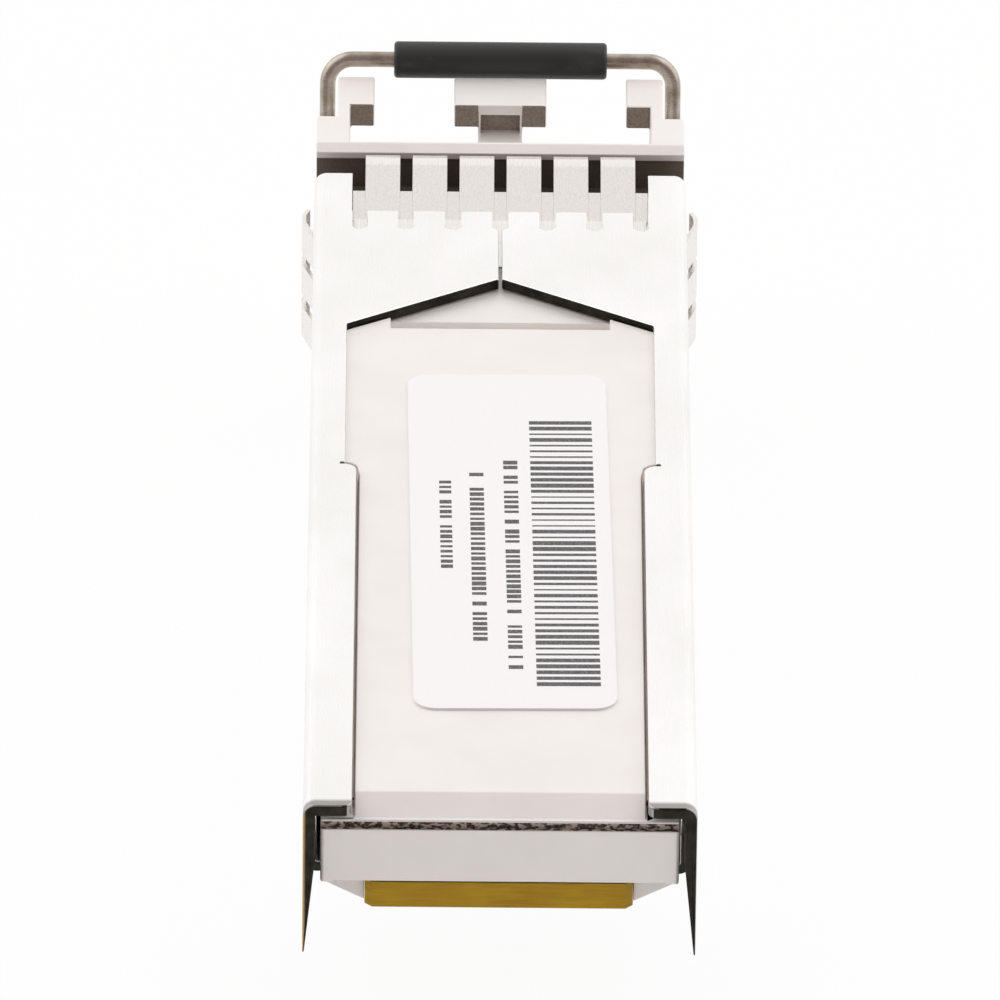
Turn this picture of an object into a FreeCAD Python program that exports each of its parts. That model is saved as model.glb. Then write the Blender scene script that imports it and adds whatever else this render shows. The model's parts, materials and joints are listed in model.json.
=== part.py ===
# Pluggable optical transceiver: a folded sheet shell around two die castings, with a wire bail, a sprung
# latch, a circuit board with a card edge and two optical barrels behind the plug ports.
# Lengths are in millimetres. Inside a sub-part x runs across the module, y forward from the rear edge of
# the shell and z up from the underside of the shell. Each sub-part's Placement moves it into the shared
# frame, whose origin is under the middle of the whole object, at the level of the latch boss.
import FreeCAD
import Part
import Sketcher
import math
import os
import re

SIZES = {
    # Envelope and sheet
    "body_width": 13.4,
    "body_height": 8.5,
    "stop_from_rear": 47.5,
    "shell_thickness": 0.4,
    "shell_bend": 0.45,
    "fit_gap": 0.05,
    # Openings of the shell
    "rail_width": 1.67,
    "rail_front_width": 1.25,
    "rail_step": 24.4,
    "rail_round": 0.45,
    "rail_end_round": 0.3,
    "relief_depth": 0.17,
    "relief_length": 0.12,
    "roof_setback": 9.2,
    "roof_fall": 3.5,
    "seam_gap": 0.12,
    "bottom_opening": 10.4,
    "skirt_height": 2.75,
    "skirt_slope": 1.2,
    "lead_in_height": 3.4,
    "lead_in_tip": 0.06,
    "flap_setback": 4.0,
    "corner_setback": 1.1,
    "notch_width": 0.6,
    "notch_depth": 1.4,
    "notch_round": 0.2,
    "latch_window_margin": 0.4,
    "snap_place": 29.0,
    "snap_length": 1.6,
    "snap_low": 3.2,
    "snap_height": 1.0,
    "snap_recess": 0.15,
    # Earthing fingers
    "finger_pitch": 1.695,
    "finger_slot": 0.45,
    "finger_thickness": 0.15,
    "collar_bend": 0.2,
    "finger_rise": 0.85,
    "finger_crest": 0.8,
    "finger_flat": 0.4,
    "finger_curl": 0.15,
    "finger_tip": 0.3,
    "finger_root": 0.3,
    "top_fingers": 6,
    "side_fingers": 3,
    "collar_band": 3.5,
    # Plug nose
    "nose_length": 6.0,
    "nose_inset": 0.05,
    "nose_flange": 2.5,
    "nose_step": 0.45,
    "tip_drop": 0.2,
    "lip_thickness": 0.9,
    "port_side_wall": 0.45,
    "port_floor_wall": 0.325,
    "divider_width": 1.6,
    "port_depth": 8.6,
    "port_wall": 1.1,
    "window_place": 0.5,
    "window_length": 3.28,
    "divider_drop": 0.25,
    "key_slot_width": 2.9,
    "tip_groove_length": 1.9,
    "tip_groove_depth": 0.6,
    "stop_slope_height": 0.35,
    "stop_slope_length": 0.4,
    "stop_land": 0.1,
    "stop_undercut": 0.12,
    "divider_pocket_margin": 0.1,
    "divider_pocket_roof": 0.4,
    "divider_pocket_depth": 0.3,
    # Tray of the base housing
    "tray_wall": 0.6,
    "tray_floor": 0.7,
    "floor_setback": 0.3,
    "chamber_gap": 0.2,
    "chamber_roof": 0.6,
    "parting_height": 5.3,
    "ledge_width": 0.6,
    "ledge_setback": 3.3,
    "ledge_margin": 2.0,
    "guide_setback": 0.55,
    "guide_chamfer": 0.75,
    # Top cover
    "cover_rear": 0.3,
    "cover_setback": 0.6,
    "lid_gap": 0.3,
    "deck_gap": 0.05,
    "lid_thickness": 0.5,
    "shoulder_lift": 0.1,
    "shoulder_depth": 0.8,
    "groove_drop": 0.1,
    "groove_height": 0.28,
    "groove_depth": 0.25,
    "panel_gap": 0.08,
    "panel_drop": 0.2,
    "wing_gap": 0.05,
    "ramp_setback": 0.1,
    "ramp_length": 1.0,
    "panel_reach": 0.1,
    "trench_width": 7.8,
    "trench_length": 0.9,
    # Label
    "label_width": 7.0,
    "label_length": 24.2,
    "label_rear": 7.1,
    "label_shift": 0.37,
    "label_turn": 0.75,
    "label_corner": 0.8,
    "label_thickness": 0.08,
    # Latch
    "latch_boss_height": 0.45,
    "latch_to_stop": 2.5,
    "boss_width": 2.6,
    "boss_length": 2.6,
    "boss_flat": 0.6,
    "lever_width": 5.8,
    "lever_gap": 0.25,
    "lever_margin": 0.2,
    "lever_end_gap": 0.3,
    "lever_reach": 0.7,
    "lever_lift": 0.3,
    "lever_thickness": 0.5,
    "lever_swing": 1.0,
    "cavity_margin": 0.5,
    "cavity_roof": 0.3,
    "hub_radius": 0.55,
    "pin_from_stop": 2.0,
    "pin_radius": 0.3,
    "pin_gap": 0.02,
    "pin_seat": 0.95,
    "pin_seat_gap": 0.01,
    "spring_setback": 0.1,
    "spring_foot": 1.0,
    "spring_reach": 1.7,
    "spring_thickness": 0.12,
    "spring_width": 2.0,
    "spring_gap": 0.01,
    # Bail
    "wire_diameter": 0.57,
    "leg_inset": 0.075,
    "leg_gap": 0.105,
    "bail_bend": 0.9,
    "bail_gap": 0.08,
    "bar_lift": 0.12,
    "pivot_from_stop": 4.1,
    "pivot_gap": 0.035,
    "paddle_length": 0.8,
    "paddle_thickness": 0.3,
    "paddle_width": 1.1,
    "paddle_lift": 0.15,
    "paddle_gap": 0.15,
    "sleeve_diameter": 1.34,
    "sleeve_length": 7.75,
    "sleeve_gap": 0.01,
    "sleeve_round": 0.15,
    # Circuit board
    "board_thickness": 1.0,
    "board_bottom": 2.35,
    "board_end": 3.85,
    "board_gap": 0.15,
    "edge_width": 9.2,
    "edge_gap": 0.08,
    "edge_margin": 0.3,
    "edge_corner": 0.25,
    "pad_pitch": 0.8,
    "pad_width": 0.5,
    "pad_length": 3.4,
    "pad_setback": 0.35,
    "pad_thickness": 0.05,
    "pads_per_side": 10,
    # Parts on the board, placed from the middle and from the front end of the board
    "driver_setback": 7.4,
    "driver_side": 3.0,
    "driver_height": 0.8,
    "amplifier_setback": 8.0,
    "amplifier_side": 3.0,
    "amplifier_height": 0.8,
    "controller_x": 0.0,
    "controller_setback": 16.0,
    "controller_side": 4.0,
    "controller_height": 0.9,
    "memory_x": -1.6,
    "memory_setback": 21.4,
    "memory_side": 2.8,
    "memory_height": 1.0,
    "part_gap": 0.15,
    "capacitor_margin": 0.6,
    "capacitor_setback": 9.5,
    "capacitor_pitch": 2.4,
    "capacitor_length": 1.0,
    "capacitor_width": 0.5,
    "capacitor_height": 0.5,
    "capacitors_per_row": 6,
    "inductor_gap": 0.65,
    "inductor_setback": 11.8,
    "inductor_length": 2.0,
    "inductor_width": 1.3,
    "inductor_height": 1.2,
    # Optical barrels
    "optic_drop": 0.2,
    "barrel_reach": 3.0,
    "barrel_radius": 1.45,
    "barrel_gap": 0.05,
    "flange_step": 0.15,
    "flange_length": 0.6,
    "gasket_thickness": 0.4,
    "gasket_margin": 0.1,
    "neck_step": 0.45,
    "neck_length": 1.9,
    "holder_gap": 0.05,
    "holder_length": 1.4,
    "cap_wall": 0.35,
    "cap_length": 1.1,
    "cap_gap": 0.05,
    "header_step": 0.15,
    "header_length": 0.8,
    "ferrule_bore": 0.63,
    "split_sleeve_wall": 0.25,
    "split_sleeve_length": 3.6,
    "split_sleeve_gap": 0.02,
    "split_sleeve_slit": 0.2,
    "split_sleeve_setback": 0.3,
    "lead_offset": 0.7,
    "lead_radius": 0.18,
    "lead_length": 0.9,
    "flex_length": 5.1,
    "flex_overlap": 2.2,
    "flex_rise": 1.7,
    "flex_width": 3.8,
    "flex_thickness": 0.15,
    "clamp_gap": 0.2,
    "clamp_length": 1.5,
}

# Places that follow from the sizes, as formulas in the same names.
PLACES = {
    "shell_ceiling": "body_height - shell_thickness",
    "inside_width": "body_width - 2 * shell_thickness",
    "flap_front": "stop_from_rear - flap_setback",
    "corner_front": "stop_from_rear - corner_setback",
    "roof_peak": "stop_from_rear - roof_setback",
    "roof_side": "roof_peak - roof_fall",
    "nose_front": "stop_from_rear + nose_length",
    "nose_top": "body_height + nose_step",
    "nose_width": "body_width - 2 * nose_inset",
    "nose_front_width": "bail_spacing - wire_diameter - 2 * leg_gap",
    "overall_length": "nose_front + bail_gap + sleeve_diameter",
    "collar_rear": "flap_front - collar_band",
    "crest_front": "stop_from_rear - finger_crest",
    "crest_rear": "crest_front - finger_flat",
    "finger_end": "stop_from_rear - finger_tip",
    "top_row": "top_fingers * finger_pitch",
    "side_row": "side_fingers * finger_pitch",
    "row_centre": "body_height / 2",
    "tray_width": "inside_width - 2 * (finger_thickness + fit_gap)",
    "tray_inside": "tray_width - 2 * tray_wall",
    "tray_bottom": "shell_thickness + finger_thickness + fit_gap",
    "tray_rear": "bottom_opening + floor_setback",
    "floor_top": "tray_bottom + tray_floor",
    "cover_front": "collar_rear - cover_setback",
    "chamber_rear": "cover_front + chamber_gap",
    "chamber_top": "shell_ceiling - finger_thickness - fit_gap",
    "chamber_ceiling": "chamber_top - chamber_roof",
    "chamber_floor": "cavity_ceiling + cavity_roof",
    "port_rear": "nose_front - port_depth",
    "chamber_front": "port_rear - port_wall",
    "port_floor": "cavity_front_ceiling + port_floor_wall",
    "port_top": "2 * optic_height - port_floor",
    "port_width": "(nose_front_width - 2 * port_side_wall - divider_width) / 2",
    "port_pitch": "port_width + divider_width",
    "optic_height": "(chamber_floor + chamber_ceiling) / 2 - optic_drop",
    "tip_top": "nose_top - tip_drop",
    "mouth_top": "tip_top - lip_thickness",
    "window_rear": "stop_from_rear + window_place",
    "window_front": "window_rear + window_length",
    "ledge_rear": "tray_rear + ledge_setback",
    "ledge_front": "board_front - ledge_margin",
    "guide_rear": "board_end + guide_setback",
    "guide_spacing": "edge_width + 2 * edge_gap",
    "guide_low": "board_bottom",
    "guide_high": "guide_low + guide_chamfer",
    "lid_top": "shell_ceiling - lid_gap",
    "lid_bottom": "lid_top - lid_thickness",
    "deck_top": "shell_ceiling - deck_gap",
    "shoulder_low": "parting_height + shoulder_lift",
    "panel_width": "body_width - 2 * (rail_width + panel_gap)",
    "panel_top": "body_height - panel_drop",
    "roof_half": "body_width / 2 - rail_front_width",
    "wing_half": "roof_half - wing_gap",
    "wing_front": "roof_side - wing_gap",
    "wing_reach": "wing_front + roof_fall * (wing_half - trench_width / 2) / roof_half",
    "rail_curve": "rail_round + panel_gap",
    "rail_curve_x": "body_width / 2 - rail_width + rail_round",
    "rail_curve_y": "rail_step - rail_round",
    "panel_ramp": "cover_rear + ramp_setback",
    "panel_rear": "panel_ramp + ramp_length",
    "panel_front": "roof_side + panel_reach",
    "latch_shoulder": "stop_from_rear - latch_to_stop",
    "boss_rear": "latch_shoulder - boss_length",
    "latch_window_width": "boss_width + 2 * latch_window_margin",
    "latch_window_rear": "boss_rear - latch_window_margin",
    "lever_rear": "boss_rear - lever_margin",
    "lever_front": "pivot_place + lever_reach",
    "lever_low": "shell_thickness + lever_lift",
    "lever_high": "lever_low + lever_thickness",
    "cavity_width": "lever_width + 2 * lever_gap",
    "cavity_rear": "lever_rear - lever_end_gap",
    "cavity_front": "lever_front + cavity_margin",
    "cavity_ceiling": "lever_high + lever_swing",
    "cavity_front_ceiling": "pivot_height + paddle_length / 2 + paddle_gap",
    "pin_place": "stop_from_rear + pin_from_stop",
    "pin_height": "(lever_low + lever_high) / 2",
    "pin_length": "cavity_width + 2 * pin_seat",
    "spring_front": "port_rear - spring_setback",
    "spring_bend": "spring_front - spring_foot",
    "spring_tip": "spring_bend - spring_reach",
    "bail_spacing": "nose_width - wire_diameter - 2 * leg_inset",
    "pivot_bend": "wire_diameter / 2 + leg_gap - fit_gap / 2",
    "pivot_place": "stop_from_rear + pivot_from_stop",
    "pivot_height": "lever_high + paddle_thickness / 2 + paddle_lift",
    "pivot_radius": "wire_diameter / 2 + pivot_gap",
    "bail_run": "nose_front + bail_gap + sleeve_diameter / 2 - pivot_place",
    "bail_rise": "nose_top + bar_lift - pivot_height",
    "bail_reach": "sqrt(bail_run ^ 2 + bail_rise ^ 2)",
    "bail_lean": "atan(bail_run / bail_rise)",
    "paddle_outer": "cavity_width / 2 - paddle_gap",
    "paddle_inner": "paddle_outer - paddle_width",
    "board_top": "board_bottom + board_thickness",
    "board_width": "tray_inside - 2 * board_gap",
    "board_front": "flex_rear + flex_overlap",
    "edge_front": "tray_rear + tray_wall + edge_margin",
    "capacitor_x": "board_width / 2 - capacitor_margin - capacitor_width / 2",
    "chip_edge": "capacitor_x - capacitor_width / 2 - part_gap",
    "driver_x": "driver_side / 2 - chip_edge",
    "amplifier_x": "chip_edge - amplifier_side / 2",
    "inductor_x": "capacitor_x - capacitor_width / 2 - inductor_gap - inductor_length / 2",
    "holder_room": "min(optic_height - chamber_floor; (tray_inside - port_pitch) / 2 - header_step)",
    "holder_radius": "holder_room - holder_gap",
    "header_radius": "holder_radius + header_step",
    "neck_radius": "holder_radius - neck_step",
    "flange_radius": "holder_radius - flange_step",
    "cap_radius": "holder_radius - cap_wall",
    "barrel_tip": "port_rear + barrel_reach",
    "barrel_hole": "barrel_radius + barrel_gap",
    "split_sleeve_radius": "ferrule_bore + split_sleeve_wall",
    "bore_end": "barrel_tip - split_sleeve_setback - split_sleeve_length",
    "flange_front": "chamber_front - gasket_thickness",
    "flange_rear": "flange_front - flange_length",
    "neck_rear": "flange_rear - neck_length",
    "holder_rear": "neck_rear - holder_length",
    "header_rear": "holder_rear - header_length",
    "flex_front": "header_rear - lead_length",
    "flex_rear": "flex_front - flex_length",
    "flex_top": "optic_height + flex_rise",
    "clamp_front": "flange_rear - clamp_gap",
    "clamp_rear": "clamp_front - clamp_length",
    "clamp_top": "chamber_ceiling - fit_gap",
}

# Local planes of a body: attachment role, axis along which a profile is given depth, and its sense.
PLANES = {
    "plan": ("XY_Plane", 1),
    "front": ("XZ_Plane", -1),
    "side": ("YZ_Plane", 1),
}

X_AXIS = FreeCAD.Vector(1, 0, 0)
Y_AXIS = FreeCAD.Vector(0, 1, 0)
Z_AXIS = FreeCAD.Vector(0, 0, 1)
QUARTER = 90
ROD_TURNS = {
    "x": FreeCAD.Rotation(Y_AXIS, QUARTER),
    "y": FreeCAD.Rotation(X_AXIS, -QUARTER),
    "z": FreeCAD.Rotation(),
}
SIDES = {"left": "-1", "right": "1"}
WING_TURNS = (0, 30, 60)
TINY = 1e-4

doc = FreeCAD.newDocument("transceiver")
sheet = doc.addObject("Spreadsheet::Sheet", "Sizes")
for row, (alias, value) in enumerate(SIZES.items(), start=1):
    sheet.set(f"A{row}", alias)
    sheet.set(f"B{row}", str(value))
    sheet.setAlias(f"B{row}", alias)
doc.recompute()

nodes = []


def bound(formula):
    """Return the formula with every size and place name written out as cells of the sheet."""
    def cell(match):
        word = match.group()
        if word in SIZES:
            return f"Sizes.{word}"
        if word in PLACES:
            return f"({bound(PLACES[word])})"
        return word
    return re.sub(r"[a-z_][a-z0-9_]*", cell, formula)


def bind(thing, prop, formula):
    thing.setExpression(prop, bound(formula))


def across(width, centre="0"):
    return (f"{centre} - ({width}) / 2", f"{centre} + ({width}) / 2")


def size_box(box, x, y, z):
    """Bind a box to a (low, high) pair of formulas for each axis."""
    for side, axis, (low, high) in zip(("Length", "Width", "Height"), "xyz", (x, y, z)):
        bind(box, side, f"({high}) - ({low})")
        bind(box, f"Placement.Base.{axis}", low)
    return box


def size_rod(rod, axis, radius, centre, span):
    """Bind a cylinder to its axis letter, radius, centre on the other two axes and (low, high) along it."""
    low, high = span
    rod.Placement.Rotation = ROD_TURNS[axis]
    bind(rod, "Radius", radius)
    bind(rod, "Height", f"({high}) - ({low})")
    bind(rod, f"Placement.Base.{axis}", low)
    for other, place in zip("xyz".replace(axis, ""), centre):
        bind(rod, f"Placement.Base.{other}", place)
    return rod


def new_body(label):
    return doc.addObject("PartDesign::Body", label)


def add_box(body, name, x, y, z):
    return size_box(body.newObject("PartDesign::AdditiveBox", name), x, y, z)


def cut_box(body, name, x, y, z):
    return size_box(body.newObject("PartDesign::SubtractiveBox", name), x, y, z)


def add_rod(body, name, axis, radius, centre, span):
    return size_rod(body.newObject("PartDesign::AdditiveCylinder", name), axis, radius, centre, span)


def cut_rod(body, name, axis, radius, centre, span):
    return size_rod(body.newObject("PartDesign::SubtractiveCylinder", name), axis, radius, centre, span)


def origin_of(body, role):
    return next(item for item in body.Origin.OriginFeatures if item.Role == role)


def add_loop(sketch, corners):
    """Add a closed loop of lines whose corners are bound to pairs of formulas."""
    first = sketch.GeometryCount
    count = len(corners)
    start = [FreeCAD.Vector(math.cos(math.tau * k / count), math.sin(math.tau * k / count), 0)
             for k in range(count)]
    for k in range(count):
        sketch.addGeometry(Part.LineSegment(start[k], start[(k + 1) % count]), False)
    for k, corner in enumerate(corners):
        line = first + k
        sketch.addConstraint(Sketcher.Constraint("Coincident", line, 2, first + (k + 1) % count, 1))
        for kind, seed, formula in zip(("DistanceX", "DistanceY"), start[k], corner):
            index = sketch.addConstraint(Sketcher.Constraint(kind, line, 1, seed))
            bind(sketch, f"Constraints[{index}]", formula)


def profile(body, name, plane, loops, place):
    """Make a sketch of closed loops on one of the body's own planes, moved to a place along its axis."""
    role, sense = PLANES[plane]
    sketch = body.newObject("Sketcher::SketchObject", name)
    sketch.AttachmentSupport = (origin_of(body, role), [""])
    sketch.MapMode = "FlatFace"
    bind(sketch, "AttachmentOffset.Base.z", f"{sense} * ({place})")
    for corners in loops:
        add_loop(sketch, corners)
    return sketch


def add_prism(body, name, plane, loops, span):
    low, high = span
    pad = body.newObject("PartDesign::Pad", name)
    pad.Profile = profile(body, f"{name}_profile", plane, loops, low)
    pad.Reversed = PLANES[plane][1] < 0
    bind(pad, "Length", f"({high}) - ({low})")
    return pad


def cut_prism(body, name, plane, loops, span):
    low, high = span
    pocket = body.newObject("PartDesign::Pocket", name)
    pocket.Profile = profile(body, f"{name}_profile", plane, loops, low)
    pocket.Reversed = PLANES[plane][1] > 0
    bind(pocket, "Length", f"({high}) - ({low})")
    return pocket


def repeat(body, feature, role, count, pitch):
    """Repeat a feature along one of the body's own axes."""
    pattern = body.newObject("PartDesign::LinearPattern", f"{feature.Name}_row")
    pattern.Originals = [feature]
    pattern.Direction = (origin_of(body, role), [""])
    bind(pattern, "Length", f"({count} - 1) * {pitch}")
    bind(pattern, "Occurrences", count)
    body.Tip = pattern
    return pattern


def round_edges(body, name, radius, chosen):
    """Round the edges of the body's present shape for which chosen(edge) holds."""
    doc.recompute()
    base = body.Tip
    names = [f"Edge{k}" for k, edge in enumerate(base.Shape.Edges, start=1) if chosen(edge)]
    fillet = body.newObject("PartDesign::Fillet", name)
    fillet.Base = (base, names)
    bind(fillet, "Radius", radius)
    return fillet


def runs_along(edge, axis):
    if edge.Curve.TypeId != "Part::GeomLine":
        return False
    return abs(edge.tangentAt(edge.FirstParameter).dot(axis)) > 1 - TINY


def rectangle(x, y):
    return [(x[0], y[0]), (x[1], y[0]), (x[1], y[1]), (x[0], y[1])]


def mirrored(corners):
    """Corners on the other side of the middle plane, in the order that goes on round the loop."""
    return [(f"-({x})", y) for x, y in reversed(corners)]


def place_node(item, label, x="0", y="0", z="0"):
    """Name a sub-part and move it, with a shift of its own, from the rear edge to the shared origin."""
    item.Label = label
    bind(item, "Placement.Base.x", x)
    bind(item, "Placement.Base.y", f"({y}) - overall_length / 2")
    bind(item, "Placement.Base.z", f"({z}) + latch_boss_height")
    nodes.append(item)


def place_group(label, members):
    group = doc.addObject("Part::Compound", label)
    group.Links = members
    place_node(group, label)


def sheet_tube(body, width, low, high, wall, bend, span):
    """Fold a closed rectangular sheet tube with rounded bends along y."""
    inner = (across(f"{width} - 2 * {wall}"), (f"{low} + {wall}", f"{high} - {wall}"))
    add_prism(body, "tube", "front", [rectangle(across(width), (low, high)), rectangle(*inner)], span)
    doc.recompute()
    reach = body.Shape.BoundBox.XMax
    for name, radius, side in (("outer_bends", bend, reach),
                               ("inner_bends", f"{bend} - {wall}", reach - sheet.get(wall))):
        round_edges(body, name, radius,
                    lambda edge: runs_along(edge, Y_AXIS) and abs(abs(edge.CenterOfMass.x) - side) < TINY)


def build_outer_shell():
    shell = new_body("outer_shell")
    beyond = "shell_thickness"
    top = ("row_centre", "body_height + shell_thickness")
    whole = across("2 * body_width")
    sheet_tube(shell, "body_width", "0", "body_height", "shell_thickness", "shell_bend",
               ("0", "corner_front"))
    rear_rail = "body_width / 2 - rail_width"
    front_rail = "body_width / 2 - rail_front_width"
    relief = f"{front_rail} + relief_depth"
    relief_end = "rail_step + relief_length"
    right = [(rear_rail, f"-{beyond}"), (rear_rail, "rail_step"), (relief, "rail_step"),
             (relief, relief_end), (front_rail, relief_end), (front_rail, "roof_side")]
    cut_prism(shell, "top_mouth", "plan", [right + [("0", "roof_peak")] + mirrored(right)], top)
    rail_edge = sheet.body_width / 2 - sheet.rail_width
    for name, radius, along in (("rail_ends", "rail_end_round", 0),
                                ("rail_corners", "rail_round", sheet.rail_step)):
        round_edges(shell, name, radius, lambda edge: runs_along(edge, Z_AXIS)
                    and abs(abs(edge.CenterOfMass.x) - rail_edge) < TINY
                    and abs(edge.CenterOfMass.y - along) < TINY)
    cut_box(shell, "seam", across("seam_gap"), ("roof_side", "corner_front + shell_thickness"), top)
    skirt = [(f"-{beyond}", f"-{beyond}"), ("bottom_opening", f"-{beyond}"),
             ("bottom_opening", "skirt_height - skirt_slope"),
             ("bottom_opening - skirt_slope", "skirt_height"), (f"-{beyond}", "skirt_height")]
    cut_prism(shell, "rear_mouth", "side", [skirt], whole)
    inner = "inside_width / 2"
    tip = "body_width / 2 - lead_in_tip"
    lead_in = [(f"{inner} - {beyond}", "skirt_height + lead_in_height"),
               (inner, "skirt_height + lead_in_height"), (tip, "skirt_height"),
               (tip, f"skirt_height - {beyond}"), (f"{inner} - {beyond}", f"skirt_height - {beyond}")]
    cut_prism(shell, "ear_lead_ins", "front", [lead_in, mirrored(lead_in)],
              (f"-{beyond}", "bottom_opening - skirt_slope"))
    front = ("flap_front", "corner_front + shell_thickness")
    row = across("top_row + finger_slot")
    cut_box(shell, "top_front", row, front, top)
    cut_box(shell, "bottom_front", row, front, ("-shell_thickness", "row_centre"))
    cut_box(shell, "side_front", whole, front, across("side_row + finger_slot", "row_centre"))
    cut_box(shell, "latch_window", across("latch_window_width"), ("latch_window_rear", "corner_front"),
            ("-shell_thickness", "row_centre"))
    cut_box(shell, "snap_windows", whole, ("snap_place", "snap_place + snap_length"),
            ("snap_low", "snap_low + snap_height"))
    notch_end = "flap_front - notch_depth"

    def notch(centre):
        low, high = across("notch_width", centre)
        return [(low, "flap_front"), (high, "flap_front"), (high, f"{notch_end} + notch_round"),
                (f"{high} - notch_round", notch_end), (f"{low} + notch_round", notch_end),
                (low, f"{notch_end} + notch_round")]

    top_notch = cut_prism(shell, "top_notch", "plan", [notch("-top_row / 2")], top)
    repeat(shell, top_notch, "X_Axis", "top_fingers + 1", "finger_pitch")
    side_notch = [(along, up) for up, along in notch("row_centre - side_row / 2")]
    side_cut = cut_prism(shell, "side_notch", "side", [side_notch], whole)
    repeat(shell, side_cut, "Z_Axis", "side_fingers + 1", "finger_pitch")
    place_node(shell, "outer_shell")


def finger_profile(face, outward):
    """Corners of one finger seen from its side: (y, height), rising outward from a face of the collar."""
    def level(rise):
        return f"{face} + {outward} * ({rise})"
    return [("flap_front - finger_root", level("0")),
            ("flap_front", level("0")),
            ("crest_rear", level("finger_rise")),
            ("crest_front", level("finger_rise")),
            ("finger_end", level("finger_rise - finger_curl")),
            ("finger_end", level("finger_rise - finger_curl - finger_thickness")),
            ("crest_front", level("finger_rise - finger_thickness")),
            ("crest_rear", level("finger_rise - finger_thickness")),
            ("flap_front", level("-finger_thickness")),
            ("flap_front - finger_root", level("-finger_thickness"))]


def build_spring_collar():
    collar = new_body("spring_collar")
    width = "finger_pitch - finger_slot"
    first = "-top_row / 2 + finger_pitch / 2"
    sheet_tube(collar, "inside_width", "shell_thickness", "shell_ceiling", "finger_thickness",
               "collar_bend", ("collar_rear", "flap_front"))
    cut_box(collar, "latch_gap", across("top_row - 2 * finger_pitch"),
            ("collar_rear - fit_gap", "flap_front + fit_gap"), ("0", "row_centre"))
    upper = finger_profile("shell_ceiling", "1")
    top = add_prism(collar, "top_finger", "side", [upper], across(width, first))
    repeat(collar, top, "X_Axis", "top_fingers", "finger_pitch")
    for side, sense in SIDES.items():
        lower = finger_profile("shell_thickness", "-1")
        add_prism(collar, f"{side}_bottom_finger", "side", [lower], across(width, f"{sense} * ({first})"))
        outer = [(out, along) for along, out in finger_profile(f"{sense} * inside_width / 2", sense)]
        lowest = "row_centre - side_row / 2 + finger_pitch / 2"
        finger = add_prism(collar, f"{side}_finger", "plan", [outer], across(width, lowest))
        repeat(collar, finger, "Z_Axis", "side_fingers", "finger_pitch")
    place_node(collar, "spring_collar")


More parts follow.
